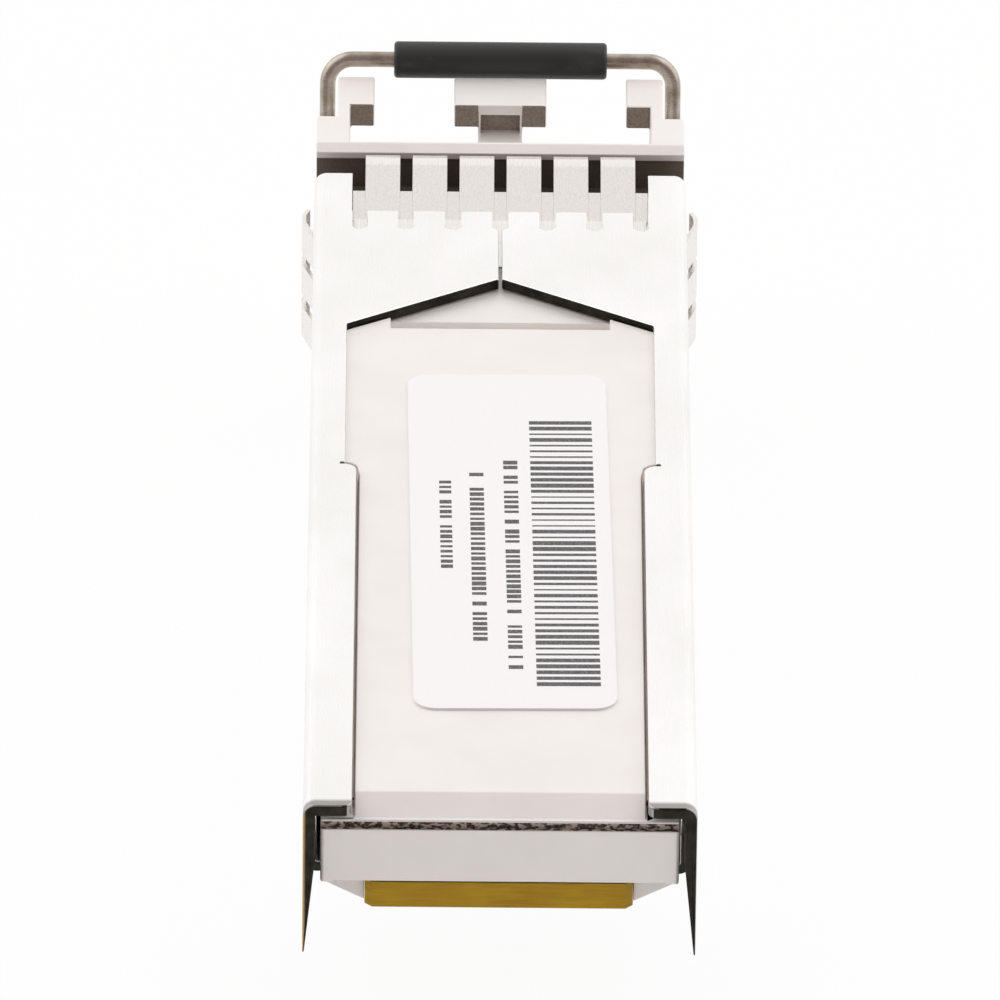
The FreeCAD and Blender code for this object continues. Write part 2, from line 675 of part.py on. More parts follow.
def build_base_housing():
    base = new_body("base_housing")
    inside = across("tray_inside")
    above = "nose_top + lip_thickness"
    beyond = "nose_front + nose_flange"
    add_box(base, "nose_block", across("nose_width"), ("stop_from_rear", "stop_from_rear + nose_flange"),
            ("0", "nose_top"))
    add_box(base, "nose_tip", across("nose_front_width"), ("stop_from_rear", "nose_front"),
            ("0", "tip_top"))
    add_box(base, "chamber", across("tray_width"), ("chamber_rear", "stop_from_rear + nose_flange"),
            ("tray_bottom", "chamber_top"))
    add_box(base, "tray", across("tray_width"), ("tray_rear", "chamber_rear + tray_wall"),
            ("tray_bottom", "parting_height"))
    cut_box(base, "tray_space", inside, ("tray_rear - tray_wall", "chamber_rear"),
            ("floor_top", "nose_top"))
    cut_box(base, "can_space", inside, ("chamber_rear", "cavity_rear - tray_wall"),
            ("floor_top", "chamber_ceiling"))
    cut_box(base, "barrel_space", inside, ("cavity_rear - tray_wall", "chamber_front"),
            ("chamber_floor", "chamber_ceiling"))
    cut_box(base, "lever_space", across("cavity_width"), ("cavity_rear", "port_rear"),
            ("-nose_flange", "cavity_ceiling"))
    cut_box(base, "paddle_space", across("cavity_width"), ("port_rear", "cavity_front"),
            ("-nose_flange", "cavity_front_ceiling"))
    add_box(base, "cradle", inside, ("clamp_rear", "clamp_front"),
            ("chamber_floor", "optic_height - fit_gap"))
    for side, sense in SIDES.items():
        port = f"{sense} * port_pitch / 2"
        opening = across("port_width", port)
        cut_box(base, f"{side}_port", opening, ("port_rear", beyond), ("port_floor", "port_top"))
        cut_box(base, f"{side}_mouth", opening, ("window_rear", beyond), ("port_floor", "mouth_top"))
        cut_box(base, f"{side}_window", opening, ("window_rear", "window_front"), ("optic_height", above))
        cut_box(base, f"{side}_key_slot", across("key_slot_width", port), ("window_front", beyond),
                ("optic_height", above))
        cut_rod(base, f"{side}_barrel_hole", "y", "barrel_hole", (port, "optic_height"),
                ("chamber_front - port_wall", "port_rear + port_wall"))
        cut_rod(base, f"{side}_seat", "y", "neck_radius + fit_gap", (port, "optic_height"),
                ("clamp_rear - tray_wall", "clamp_front + tray_wall"))
        wall = f"{sense} * (tray_inside - ledge_width) / 2"
        add_box(base, f"{side}_ledge", across("ledge_width", wall), ("ledge_rear", "ledge_front"),
                ("floor_top - tray_floor / 2", "board_bottom"))
        inner = f"{sense} * guide_spacing / 2"
        outer = f"{sense} * tray_width / 2"
        guide = [(inner, "guide_low"), (inner, "parting_height"),
                 (outer, "parting_height"), (outer, "guide_high")]
        add_prism(base, f"{side}_guide", "front", [guide], ("guide_rear", "tray_rear + tray_wall"))
        lug = across("body_width / 2 - snap_recess - tray_inside / 2",
                     f"{sense} * (body_width / 2 - snap_recess + tray_inside / 2) / 2")
        add_box(base, f"{side}_snap", lug,
                ("snap_place + fit_gap", "snap_place + snap_length - fit_gap"),
                ("snap_low + fit_gap", "snap_low + snap_height - fit_gap"))
    cut_box(base, "divider_window", across("port_pitch"), ("window_rear", "window_front"),
            ("mouth_top - divider_drop", above))
    cut_box(base, "finger_tip_groove", across("nose_width"),
            ("stop_from_rear - tip_groove_length", "stop_from_rear"),
            ("chamber_top - tip_groove_depth", above))
    slope_foot = "nose_top - stop_slope_height"
    slope = [("stop_from_rear - fit_gap", slope_foot), ("stop_from_rear", slope_foot),
             ("stop_from_rear + stop_slope_length", "nose_top"),
             ("stop_from_rear + stop_slope_length", above), ("stop_from_rear - fit_gap", above)]
    cut_prism(base, "stop_slope", "side", [slope], across("body_width"))
    cut_box(base, "stop_undercut", across("body_width"),
            ("stop_from_rear - tip_groove_length", "stop_from_rear + stop_undercut"),
            ("chamber_top - tip_groove_depth", f"{slope_foot} - stop_land"))
    cut_box(base, "divider_pocket", across("divider_width - 2 * divider_pocket_margin"),
            ("window_front - fit_gap", "window_front + divider_pocket_depth"),
            ("mouth_top - divider_drop", "tip_top - divider_pocket_roof"))
    cut_rod(base, "pivot_round", "x", "pivot_radius", ("pivot_place", "pivot_height"), across("nose_width"))
    cut_box(base, "pivot_slot", across("nose_width"), across("2 * pivot_radius", "pivot_place"),
            ("-nose_flange", "pivot_height"))
    cut_rod(base, "pin_hole", "x", "pin_radius + pin_seat_gap", ("pin_place", "pin_height"),
            across("pin_length"))
    place_node(base, "base_housing")


def build_top_cover():
    cover = new_body("top_cover")
    span = ("cover_rear", "cover_front")
    add_box(cover, "lid", across("tray_width"), span, ("lid_bottom", "lid_top"))
    sunk = "lid_top - lid_thickness / 2"
    ramp = [("panel_ramp", sunk), ("panel_ramp", "lid_top"), ("panel_rear", "panel_top"),
            ("panel_front", "panel_top"), ("panel_front", sunk)]
    add_prism(cover, "panel", "side", [ramp], across("panel_width"))
    corner = [(f"rail_curve_x - rail_curve * cos({turn})", f"rail_curve_y + rail_curve * sin({turn})")
              for turn in WING_TURNS]
    wing = [("trench_width / 2", "rail_curve_y"), *corner, ("wing_half", "rail_step + panel_gap"),
            ("wing_half", "wing_front"), ("trench_width / 2", "wing_reach")]
    add_prism(cover, "wings", "plan", [wing, mirrored(wing)], (sunk, "panel_top"))
    for side, sense in SIDES.items():
        wall = f"{sense} * (tray_width - tray_wall) / 2"
        add_box(cover, f"{side}_wall", across("tray_wall", wall), span,
                ("parting_height + fit_gap", "lid_top"))
    add_box(cover, "shoulder", across("tray_width"), ("cover_rear", "cover_rear + shoulder_depth"),
            ("shoulder_low", "lid_top"))
    groove_top = "lid_top - groove_drop"
    cut_box(cover, "parting_groove", across("body_width"), ("0", "cover_rear + groove_depth"),
            (f"{groove_top} - groove_height", groove_top))
    add_box(cover, "deck", across("tray_width"), ("panel_rear", "cover_front"), (sunk, "deck_top"))
    cut_box(cover, "front_trench", across("trench_width"), ("panel_front", "panel_front + trench_length"),
            ("lid_top", "panel_top + lid_thickness"))
    place_node(cover, "top_cover")


def build_label():
    label = new_body("label")
    add_box(label, "sticker", across("label_width"), across("label_length"),
            ("0", "label_thickness"))
    round_edges(label, "corners", "label_corner", lambda edge: runs_along(edge, Z_AXIS))
    label.Placement.Rotation = FreeCAD.Rotation(Z_AXIS, QUARTER)
    bind(label, "Placement.Rotation.Angle", "label_turn")
    place_node(label, "label", x="label_shift", y="label_rear + label_length / 2", z="panel_top")


def build_bail():
    wire = new_body("bail_wire")
    radius = "wire_diameter / 2"
    half = "bail_spacing / 2"
    upright = FreeCAD.Rotation(X_AXIS, QUARTER)
    # Quarter bends: turn of the torus about its own axis, side, bend radius and height of its centre.
    bends = {
        "right_bar_bend": (0, "1", "bail_bend", "bail_reach - bail_bend"),
        "left_bar_bend": (QUARTER, "-1", "bail_bend", "bail_reach - bail_bend"),
        "left_pivot_bend": (2 * QUARTER, "-1", "pivot_bend", "pivot_bend"),
        "right_pivot_bend": (3 * QUARTER, "1", "pivot_bend", "pivot_bend"),
    }
    add_rod(wire, "bar", "x", radius, ("0", "bail_reach"), across(f"2 * ({half} - bail_bend)"))
    for name, (turn, sense, bend, height) in bends.items():
        torus = wire.newObject("PartDesign::AdditiveTorus", name)
        torus.Angle3 = QUARTER
        torus.Placement.Rotation = upright.multiply(FreeCAD.Rotation(Z_AXIS, turn))
        bind(torus, "Radius1", bend)
        bind(torus, "Radius2", radius)
        bind(torus, "Placement.Base.x", f"{sense} * ({half} - {bend})")
        bind(torus, "Placement.Base.z", height)
        if bend == "bail_bend":
            add_rod(wire, f"{name}_leg", "z", radius, (f"{sense} * {half}", "0"),
                    ("pivot_bend", "bail_reach - bail_bend"))
    long_y = "paddle_length / 2 * cos(bail_lean)"
    long_z = "paddle_length / 2 * sin(bail_lean)"
    thick_y = "paddle_thickness / 2 * sin(bail_lean)"
    thick_z = "paddle_thickness / 2 * cos(bail_lean)"
    paddle = [(f"{long_y} - {thick_y}", f"{long_z} + {thick_z}"),
              (f"-{long_y} - {thick_y}", f"-{long_z} + {thick_z}"),
              (f"-{long_y} + {thick_y}", f"-{long_z} - {thick_z}"),
              (f"{long_y} + {thick_y}", f"{long_z} - {thick_z}")]
    stub_centre = f"(paddle_outer + {half} - pivot_bend) / 2"
    paddle_centre = "(paddle_inner + paddle_outer) / 2"
    for side, sense in SIDES.items():
        add_rod(wire, f"{side}_stub", "x", radius, ("0", "0"),
                across(f"{half} - pivot_bend - paddle_outer", f"{sense} * {stub_centre}"))
        add_prism(wire, f"{side}_paddle", "side", [paddle],
                  across("paddle_outer - paddle_inner", f"{sense} * {paddle_centre}"))
    sleeve = new_body("bail_sleeve")
    length = across("sleeve_length")
    add_rod(sleeve, "tube", "x", "sleeve_diameter / 2", ("0", "bail_reach"), length)
    round_edges(sleeve, "rims", "sleeve_round", lambda edge: edge.Curve.TypeId == "Part::GeomCircle")
    cut_rod(sleeve, "wire_hole", "x", f"{radius} + sleeve_gap", ("0", "bail_reach"), length)
    for item in (wire, sleeve):
        item.Placement.Rotation = FreeCAD.Rotation(-X_AXIS, QUARTER)
        bind(item, "Placement.Rotation.Angle", "bail_lean")
        place_node(item, item.Name, y="pivot_place", z="pivot_height")


def build_latch():
    lever = new_body("latch_lever")
    width = across("lever_width")
    add_box(lever, "plate", width, ("lever_rear", "lever_front"), ("lever_low", "lever_high"))
    boss = [("boss_rear", "lever_high"), ("boss_rear", "lever_low"),
            ("latch_shoulder - boss_flat", "-latch_boss_height"),
            ("latch_shoulder", "-latch_boss_height"), ("latch_shoulder", "lever_high")]
    add_prism(lever, "boss", "side", [boss], across("boss_width"))
    pivot = ("pin_place", "pin_height")
    add_rod(lever, "hub", "x", "hub_radius", pivot, width)
    cut_rod(lever, "pin_bore", "x", "pin_radius + pin_gap", pivot, width)
    place_node(lever, "latch_lever")

    pin = new_body("latch_pin")
    add_rod(pin, "shaft", "x", "pin_radius", pivot, across("pin_length"))
    place_node(pin, "latch_pin")

    spring = new_body("latch_spring")
    top = "cavity_ceiling - spring_gap"
    foot = "lever_high + spring_gap"
    leaf = [("spring_front", top), ("spring_bend", top), ("spring_tip", f"{foot} + spring_thickness"),
            ("spring_tip", foot), ("spring_bend", f"{top} - spring_thickness"),
            ("spring_front", f"{top} - spring_thickness")]
    add_prism(spring, "leaf", "side", [leaf], across("spring_width"))
    place_node(spring, "latch_spring")


def build_board():
    board = new_body("circuit_board")
    half_edge = "edge_width / 2"
    half_board = "board_width / 2"
    right = [(f"{half_edge} - edge_corner", "board_end"), (half_edge, "board_end + edge_corner"),
             (half_edge, "edge_front"), (half_board, "edge_front"), (half_board, "board_front")]
    add_prism(board, "panel", "plan", [right + mirrored(right)], ("board_bottom", "board_top"))
    place_node(board, "circuit_board")

    pads = []
    faces = {"upper": ("board_top", "board_top + pad_thickness"),
             "lower": ("board_bottom - pad_thickness", "board_bottom")}
    length = ("board_end + pad_setback", "board_end + pad_setback + pad_length")
    for face, height in faces.items():
        for k in range(int(sheet.pads_per_side)):
            centre = f"({k} - (pads_per_side - 1) / 2) * pad_pitch"
            pad = doc.addObject("Part::Box", f"{face}_pad_{k}")
            pads.append(size_box(pad, across("pad_width", centre), length, height))
    place_group("contact_pads", pads)


def build_board_parts():
    chips = {"laser_driver": "driver", "receive_amplifier": "amplifier",
             "controller": "controller", "memory_chip": "memory"}
    for label, name in chips.items():
        chip = new_body(label)
        add_box(chip, f"{name}_case", across(f"{name}_side", f"{name}_x"),
                across(f"{name}_side", f"board_front - {name}_setback"),
                ("board_top", f"board_top + {name}_height"))
        place_node(chip, label)
    capacitors = []
    inductors = []
    for side, sense in SIDES.items():
        for k in range(int(sheet.capacitors_per_row)):
            box = doc.addObject("Part::Box", f"{side}_capacitor_{k}")
            along = across("capacitor_length", f"board_front - capacitor_setback - {k} * capacitor_pitch")
            capacitors.append(size_box(box, across("capacitor_width", f"{sense} * capacitor_x"), along,
                                       ("board_top", "board_top + capacitor_height")))
        box = doc.addObject("Part::Box", f"{side}_inductor")
        inductors.append(size_box(box, across("inductor_length", f"{sense} * inductor_x"),
                                  across("inductor_width", "board_front - inductor_setback"),
                                  ("board_top", "board_top + inductor_height")))
    place_group("capacitors", capacitors)
    place_group("inductors", inductors)


def build_optics(name, sense):
    centre = (f"{sense} * port_pitch / 2", "optic_height")

    barrel = new_body(f"{name}_barrel")
    add_rod(barrel, "nose", "y", "barrel_radius", centre, ("flange_rear", "barrel_tip"))
    add_rod(barrel, "flange", "y", "flange_radius", centre, ("flange_rear", "flange_front"))
    add_rod(barrel, "neck", "y", "neck_radius", centre, ("neck_rear", "flange_rear"))
    add_rod(barrel, "holder", "y", "holder_radius", centre, ("holder_rear", "neck_rear"))
    cut_rod(barrel, "sleeve_bore", "y", "split_sleeve_radius + split_sleeve_gap", centre,
            ("bore_end", "barrel_tip + barrel_reach"))
    cut_rod(barrel, "cap_bore", "y", "cap_radius + cap_gap", centre,
            ("holder_rear - cap_length", "holder_rear + cap_length + cap_gap"))
    place_node(barrel, f"{name}_barrel")

    sleeve = new_body(f"{name}_sleeve")
    span = ("bore_end", "bore_end + split_sleeve_length")
    add_rod(sleeve, "tube", "y", "split_sleeve_radius", centre, span)
    cut_rod(sleeve, "ferrule_hole", "y", "ferrule_bore", centre, span)
    cut_box(sleeve, "slit", across("split_sleeve_slit", centre[0]), span, ("optic_height", "nose_top"))
    place_node(sleeve, f"{name}_sleeve")

    can = new_body(f"{name}_can")
    add_rod(can, "header", "y", "header_radius", centre, ("header_rear", "holder_rear"))
    add_rod(can, "cap", "y", "cap_radius", centre, ("header_rear", "holder_rear + cap_length"))
    place_node(can, f"{name}_can")

    leads = []
    for row_name, row_sense in (("lower", "-1"), ("upper", "1")):
        for side, side_sense in SIDES.items():
            lead = doc.addObject("Part::Cylinder", f"{name}_{row_name}_{side}_lead")
            place = (f"{centre[0]} + {side_sense} * lead_offset",
                     f"{centre[1]} + {row_sense} * lead_offset")
            leads.append(size_rod(lead, "y", "lead_radius", place, ("flex_front", "header_rear")))
    place_group(f"{name}_leads", leads)

    flex = new_body(f"{name}_flex")
    ribbon = [("flex_rear", "board_top"), ("flex_front", "board_top"), ("flex_front", "flex_top"),
              ("flex_front - flex_thickness", "flex_top"),
              ("flex_front - flex_thickness", "board_top + flex_thickness"),
              ("flex_rear", "board_top + flex_thickness")]
    add_prism(flex, "ribbon", "side", [ribbon], across("flex_width", centre[0]))
    place_node(flex, f"{name}_flex")


def build_optics_mounting():
    gasket = new_body("optics_gasket")
    clamp = new_body("optics_clamp")
    width = across("tray_inside - 2 * gasket_margin")
    add_box(gasket, "sheet", width, ("flange_front", "chamber_front"),
            ("chamber_floor + gasket_margin", "chamber_ceiling - gasket_margin"))
    add_box(clamp, "bridge", width, ("clamp_rear", "clamp_front"), ("optic_height + fit_gap", "clamp_top"))
    for side, sense in SIDES.items():
        centre = (f"{sense} * port_pitch / 2", "optic_height")
        cut_rod(gasket, f"{side}_hole", "y", "barrel_hole", centre, ("flange_front", "chamber_front"))
        cut_rod(clamp, f"{side}_arch", "y", "neck_radius + fit_gap", centre, ("clamp_rear", "clamp_front"))
    place_node(gasket, "optics_gasket")
    place_node(clamp, "optics_clamp")


def check_and_export():
    doc.recompute()
    for item in doc.Objects:
        if {"Invalid", "Error"} & set(item.State):
            raise RuntimeError(f"{item.Label}: {item.State} {item.getStatusString()}")
    for node in nodes:
        if node.Shape.isNull() or not node.Shape.isValid():
            raise RuntimeError(f"{node.Label}: no valid shape")
    os.makedirs("parts", exist_ok=True)
    for node in nodes:
        node.Shape.exportStep(f"parts/{node.Label}.step")


build_outer_shell()
build_spring_collar()
build_base_housing()
build_top_cover()
build_label()
build_bail()
build_latch()
build_board()
build_board_parts()
build_optics("transmitter", "-1")
build_optics("receiver", "1")
build_optics_mounting()
check_and_export()
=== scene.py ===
import json
import math

import bmesh
import bpy
from mathutils import Matrix, Vector


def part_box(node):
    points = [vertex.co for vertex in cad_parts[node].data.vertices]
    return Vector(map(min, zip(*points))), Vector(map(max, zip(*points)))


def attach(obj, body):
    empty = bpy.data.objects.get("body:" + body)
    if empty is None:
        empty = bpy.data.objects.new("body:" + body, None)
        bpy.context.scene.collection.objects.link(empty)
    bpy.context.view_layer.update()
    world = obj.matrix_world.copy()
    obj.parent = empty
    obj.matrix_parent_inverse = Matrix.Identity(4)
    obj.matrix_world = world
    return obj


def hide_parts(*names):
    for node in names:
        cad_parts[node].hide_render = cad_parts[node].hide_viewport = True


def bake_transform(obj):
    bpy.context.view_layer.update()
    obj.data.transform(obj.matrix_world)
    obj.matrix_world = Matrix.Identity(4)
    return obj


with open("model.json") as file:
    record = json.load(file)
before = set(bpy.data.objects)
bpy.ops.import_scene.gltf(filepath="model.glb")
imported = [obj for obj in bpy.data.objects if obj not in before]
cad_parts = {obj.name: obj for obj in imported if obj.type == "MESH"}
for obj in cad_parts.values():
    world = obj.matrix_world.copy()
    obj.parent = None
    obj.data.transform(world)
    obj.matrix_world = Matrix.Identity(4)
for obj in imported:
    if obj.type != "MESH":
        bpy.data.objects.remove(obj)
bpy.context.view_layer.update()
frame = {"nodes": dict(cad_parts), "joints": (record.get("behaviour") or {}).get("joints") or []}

MM = 0.001
nodes = frame["nodes"]
scene = bpy.context.scene
shell_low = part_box("outer_shell")[0]
REAR = shell_low.y
UNDERSIDE = shell_low.z

# How far two places may be apart and count as one, and two points to be merged
NEAR = 0.03
FLUSH = 0.01
MERGE = 0.0001

# Steps in a bend: a small one, and one that is seen large
BEND_STEPS = 6
FINE_STEPS = 12

# Angles in degrees: between facets of one flat face, at a corner of a solid, at an edge worth rounding,
# and at the edges that stay sharp on the collar and on the bail
FLAT_ANGLE = 0.5
CORNER_ANGLE = 6
ROUND_ANGLE = 25
COLLAR_ANGLE = 40
BAIL_ANGLE = 50

# Shares of a direction along an axis: square to it, upright, facing more up than aside, leaning to an end
SQUARE = 0.98
UPRIGHT = 0.9
UPWARD = 0.5
LEANING = 0.1

# Shell sheet; the grey band of painted shade at the rear end, the painted warm highlight on the left outer
# edge and the turn of the tumbled corners belong to its finishes
SHELL_HALF = 6.7
SHELL_TOP = 8.5
SHEET = 0.4
SHEET_BEND = 0.45
SHEET_EDGE = 0.045
SHEET_ROLL = 0.1
RAIL_ROUND = 0.3
RAIL_ROUND_TURN = (-0.93, -0.05)
ROOF_REAR = 34.8
ROOF_PEAK = 38.25
REAR_RAIL = 5.03
FRONT_RAIL = 5.45
SLIT_HALF = 0.06
NOTCH_ENDS = (42.3, 43.5)
NOTCH_MARGIN = 0.05
NOTCH_OUTER = 5.385
TONGUE_INNER = 5.31
RAIL_STEP = (23.5, 25.5)
ROLL_SHADE_BAND = (0.3, 0.5)
WARM_GLINT_EDGE = (6.6, 6.68)

# Plug casting: recesses painted dark as shade below the stop's lip, behind the lips beside the key slots and
# in the divider
STOP_RECESS = ((45.55, 47.65), (7.25, 8.52))
STOP_SHADE = (47.8, 48.2)
STOP_EDGE = 48.1
STOP_FOOT = (47.5, 8.6)
STOP_FOOT_RAISED = 8.75
LIP_REAR = 51.28
DIVIDER_HALF = 0.8
POCKET_REACH = 0.85
POCKET_ENDS = (51.28, 51.43, 51.58)
POCKET_MARGIN = 0.02
POCKET_ROOF = 8.7
POCKET_UP = (7.62, 8.4)
PLUG_EDGE = 0.07
PLUG_FINE_EDGE = 0.03

# Plug casting: cheeks beside the card edge
CHEEK_INNER = 4.68
CHEEK_REACH = 4.615
CHEEK_FRONT = 11.5

# Cover: the joint below its ramp, the shoulder's corners, the wings beside the front rails, the deck's ends
SEAM_LOW = 7.41
SEAM_HIGH = 7.71
SEAM_DEPTH = 0.57
SHOULDER_REAR = 0.3
SHOULDER_TOP = 7.4
SHOULDER_CORNER = 0.15
COVER_EDGE = 0.05
PANEL_HALF = 4.95
WING_HALF = 5.4
WING_GAP = 0.004
WING_SETBACK = 0.38
DECK_REAR = 1.4
DECK_FRONT = 39.4
DECK_TOP = 8.05
DECK_REACH = 39.99

# Spring collar; each line gives a strip's points forward and up from the band
COLLAR_REAR = 40.0
COLLAR_FRONT = 43.5
COLLAR_SHEET = 0.15
COLLAR_BEND = 0.2
COLLAR_GAP = 3.39
TOP_FINGERS = 6
SIDE_FINGERS = 3
FINGER_PITCH = 1.695
FINGER_WIDTH = 1.245
FINGER_BEND = 0.5
FINGER_LINE = ((43.2, -0.02), (43.55, 0.0), (46.25, 0.85), (46.75, 0.85), (47.2, 0.7))
WEB_LINE = ((43.5, 0.0), (43.55, 0.0), (44.95, 0.44))
WEB_WIDTH = 0.44
ROW_MIDDLE = 4.25

# Latch plate and leaf
LATCH_EDGE = 0.06
LEAF_EDGE = 0.02

# Bail
WIRE_RADIUS = 0.285
WIRE_FACETS = 28
BAR_BEND = 0.9
PIVOT_BEND = 0.3645
PADDLE_INNER = 1.9
PADDLE_OUTER = 3.0
PADDLE_HALF = 0.4
PADDLE_THICK = 0.3
PADDLE_EDGE = 0.06
SLEEVE_BORE = 0.295
SLEEVE_BEVEL = 0.05
SLEEVE_ROUND = 0.14
SLEEVE_FACETS = 64

# Sticker
LABEL_WIDTH = 7.0
LABEL_LENGTH = 24.2
LABEL_CORNER = 0.8
LABEL_THICK = 0.08
LABEL_TURN = math.radians(0.75)
INK_DEPTH = 0.006
# Printed rows: centre across, start and pitch along, mark count, reach, thin, thick, share, seed.
PRINT_ROWS = ((1.85, -10.4, 0.42, 46, 2.2, 0.08, 0.3, 1.0, 3),
              (0.05, -9.2, 0.36, 42, 0.5, 0.16, 0.3, 0.82, 7),
              (-1.15, -7.2, 0.36, 34, 0.5, 0.16, 0.3, 0.8, 12),
              (-2.25, -2.0, 0.36, 18, 0.42, 0.14, 0.28, 0.85, 21))

# Board and capacitors
BOARD_EDGE = 0.04
CAPACITOR_COUNT = 6
CAPACITOR_LENGTH = 1.0
CAPACITOR_WIDTH = 0.5
CAPACITOR_END = 0.25
CAPACITOR_WAIST = 0.94

# Table: height in millimetres, breadth in metres, paleness, and the share that glows
TABLE_TOP = -1.4
TABLE_BREADTH = 6.0
TABLE_PALE = 0.95
TABLE_GLOW = 0.94

# Light of the room behind the card edge and beyond the plug end, and where one fades into the other
ROOM_BEHIND = (0.355, 0.318, 0.312)
ROOM_BEYOND = (1.03, 1.018, 1.006)
ROOM_FADE = (-0.4, 0.8)

# Lamps, from the frame's origin; metres and watts
SOFTBOX_ASIDE = 0.36
SOFTBOX_FORWARD = 0.1
SOFTBOX_UP = 0.3
SOFTBOX_SIZE = 0.58
SOFTBOX_POWER = 1.02

# Camera, from the middle of the shell's rear top edge; metres and radians, with the lens in millimetres
CAMERA_ASIDE = -0.00013
CAMERA_BACK = 0.55444
CAMERA_UP = 0.31365
CAMERA_PITCH = math.radians(90 - 28.56)
CAMERA_SWING = math.radians(0.31)
CAMERA_ROLL = math.radians(0.65)
CAMERA_SENSOR = 36
CAMERA_LENS = 676


def spot(across, forward, up):
    return Vector((across * MM, REAR + forward * MM, UNDERSIDE + up * MM))


def local(point):
    """A point of the frame in millimetres across, forward and up."""
    return Vector((point.x / MM, (point.y - REAR) / MM, (point.z - UNDERSIDE) / MM))


def add(tree, kind, sockets=None, **settings):
    """Add a node, set its settings, and link or set its inputs."""
    made = tree.nodes.new(kind)
    for setting, value in settings.items():
        setattr(made, setting, value)
    for key, value in (sockets or {}).items():
        if isinstance(value, bpy.types.NodeSocket):
            tree.links.new(value, made.inputs[key])
        else:
            made.inputs[key].default_value = value
    return made


def new_finish(name, colour, metallic, roughness):
    material = bpy.data.materials.new(name)
    material.use_nodes = True
    shader = material.node_tree.nodes["Principled BSDF"]
    shader.inputs["Base Color"].default_value = (*colour, 1)
    shader.inputs["Metallic"].default_value = metallic
    shader.inputs["Roughness"].default_value = roughness
    return material, material.node_tree, shader


def grain(tree, size, stretch=(1, 1, 1), detail=3.0):
    """Noise with features of about that size, drawn out along the stretched axes."""
    coords = add(tree, "ShaderNodeTexCoord")
    scale = [1 / (size * MM * longer) for longer in stretch]
    mapping = add(tree, "ShaderNodeMapping", {"Vector": coords.outputs["Object"], "Scale": scale})
    noise = add(tree, "ShaderNodeTexNoise",
                {"Vector": mapping.outputs["Vector"], "Scale": 1.0, "Detail": detail})
    return noise.outputs["Fac"]


def along(tree, axis):
    """The object coordinate along one axis, in metres."""
    coords = add(tree, "ShaderNodeTexCoord")
    split = add(tree, "ShaderNodeSeparateXYZ", {0: coords.outputs["Object"]})
    return split.outputs[axis]


def spread(tree, value, low, high, start=0.3, end=0.7):
    """A value's stretch from start to end, drawn out to go from low to high."""
    ranged = add(tree, "ShaderNodeMapRange", {"Value": value, "From Min": start, "From Max": end,
                                              "To Min": low, "To Max": high})
    return ranged.outputs["Result"]


def tint(tree, factor, first, second):
    """A colour between two, each given as three numbers or as another node's colour."""
    colours = [c if isinstance(c, bpy.types.NodeSocket) else (*c, 1) for c in (first, second)]
    mixed = add(tree, "ShaderNodeMix", {0: factor, 6: colours[0], 7: colours[1]}, data_type="RGBA")
    return mixed.outputs[2]


def paint(tree, shader, colour):
    tree.links.new(colour, shader.inputs["Base Color"])


def mottle(tree, shader, pattern, first, second, start=0.3, end=0.7):
    """Paint a surface between two colours as a pattern rises from start to end."""
    paint(tree, shader, tint(tree, spread(tree, pattern, 0, 1, start, end), first, second))


def roughen(tree, shader, pattern, low, high):
    """Let a pattern set the roughness between two values."""
    tree.links.new(spread(tree, pattern, low, high), shader.inputs["Roughness"])


def dent(tree, shader, height, depth):
    """Raise and sink the surface by a height pattern whose full depth is in millimetres."""
    bump = add(tree, "ShaderNodeBump", {"Height": height, "Distance": depth * MM, "Strength": 1.0})
    tree.links.new(bump.outputs["Normal"], shader.inputs["Normal"])


def bright_sheet():
    """Nickel-plated rolled steel: streaks along the module, faint smudges, and a grey band of painted shade
    at the rear end, where the sheet rolls over.
    """
    material, tree, shader = new_finish("bright_sheet", (0.92, 0.915, 0.905), 1.0, 0.25)
    streaks = grain(tree, 0.05, (1, 60, 1), 2.0)
    smudges = grain(tree, 3.5, (1, 1.6, 1), 3.0)
    clean = tint(tree, spread(tree, smudges, 0, 1), (0.95, 0.945, 0.935), (0.88, 0.875, 0.86))
    # Painted shade: the colour is grey over the rear 0.3 mm and fades back to the plain sheet by 0.5 mm,
    # standing for the roll's shading.
    roll_shade = spread(tree, along(tree, "Y"), 1, 0, REAR + ROLL_SHADE_BAND[0] * MM, REAR + ROLL_SHADE_BAND[1] * MM)
    paint(tree, shader, tint(tree, roll_shade, clean, (0.36, 0.35, 0.34)))
    roughen(tree, shader, streaks, 0.2, 0.34)
    dent(tree, shader, streaks, 0.0004)
    return material


def sheared_edge():
    """The sheet's cut faces: dark torn steel with a burnished streak, and a painted warm highlight along the
    left outer edge.
    """
    material, tree, shader = new_finish("sheared_edge", (0.05, 0.042, 0.036), 0.85, 0.5)
    tears = grain(tree, 0.05, (1, 1, 4), 4.0)
    patches = grain(tree, 0.5, (1, 1, 1), 2.0)
    dark = tint(tree, spread(tree, patches, 0, 1), (0.014, 0.012, 0.009), (0.04, 0.034, 0.027))
    # Painted highlight: a warm gold reflection on the cut faces along the left outer edge.
    warm_glint = spread(tree, along(tree, "X"), 0, 1, -WARM_GLINT_EDGE[0] * MM, -WARM_GLINT_EDGE[1] * MM)
    paint(tree, shader, tint(tree, warm_glint, dark, (0.62, 0.40, 0.16)))
    roughen(tree, shader, tears, 0.36, 0.62)
    dent(tree, shader, tears, 0.004)
    return material


def browned_edge():
    """Cut edges along the top rails: browned steel, smoother than the shears' torn faces."""
    material, tree, shader = new_finish("browned_edge", (0.4, 0.31, 0.25), 0.85, 0.4)
    stain = grain(tree, 0.4, (1, 6, 1), 3.0)
    mottle(tree, shader, stain, (0.46, 0.36, 0.295), (0.3, 0.225, 0.175))
    roughen(tree, shader, stain, 0.32, 0.5)
    dent(tree, shader, grain(tree, 0.05, (1, 1, 4), 4.0), 0.002)
    return material


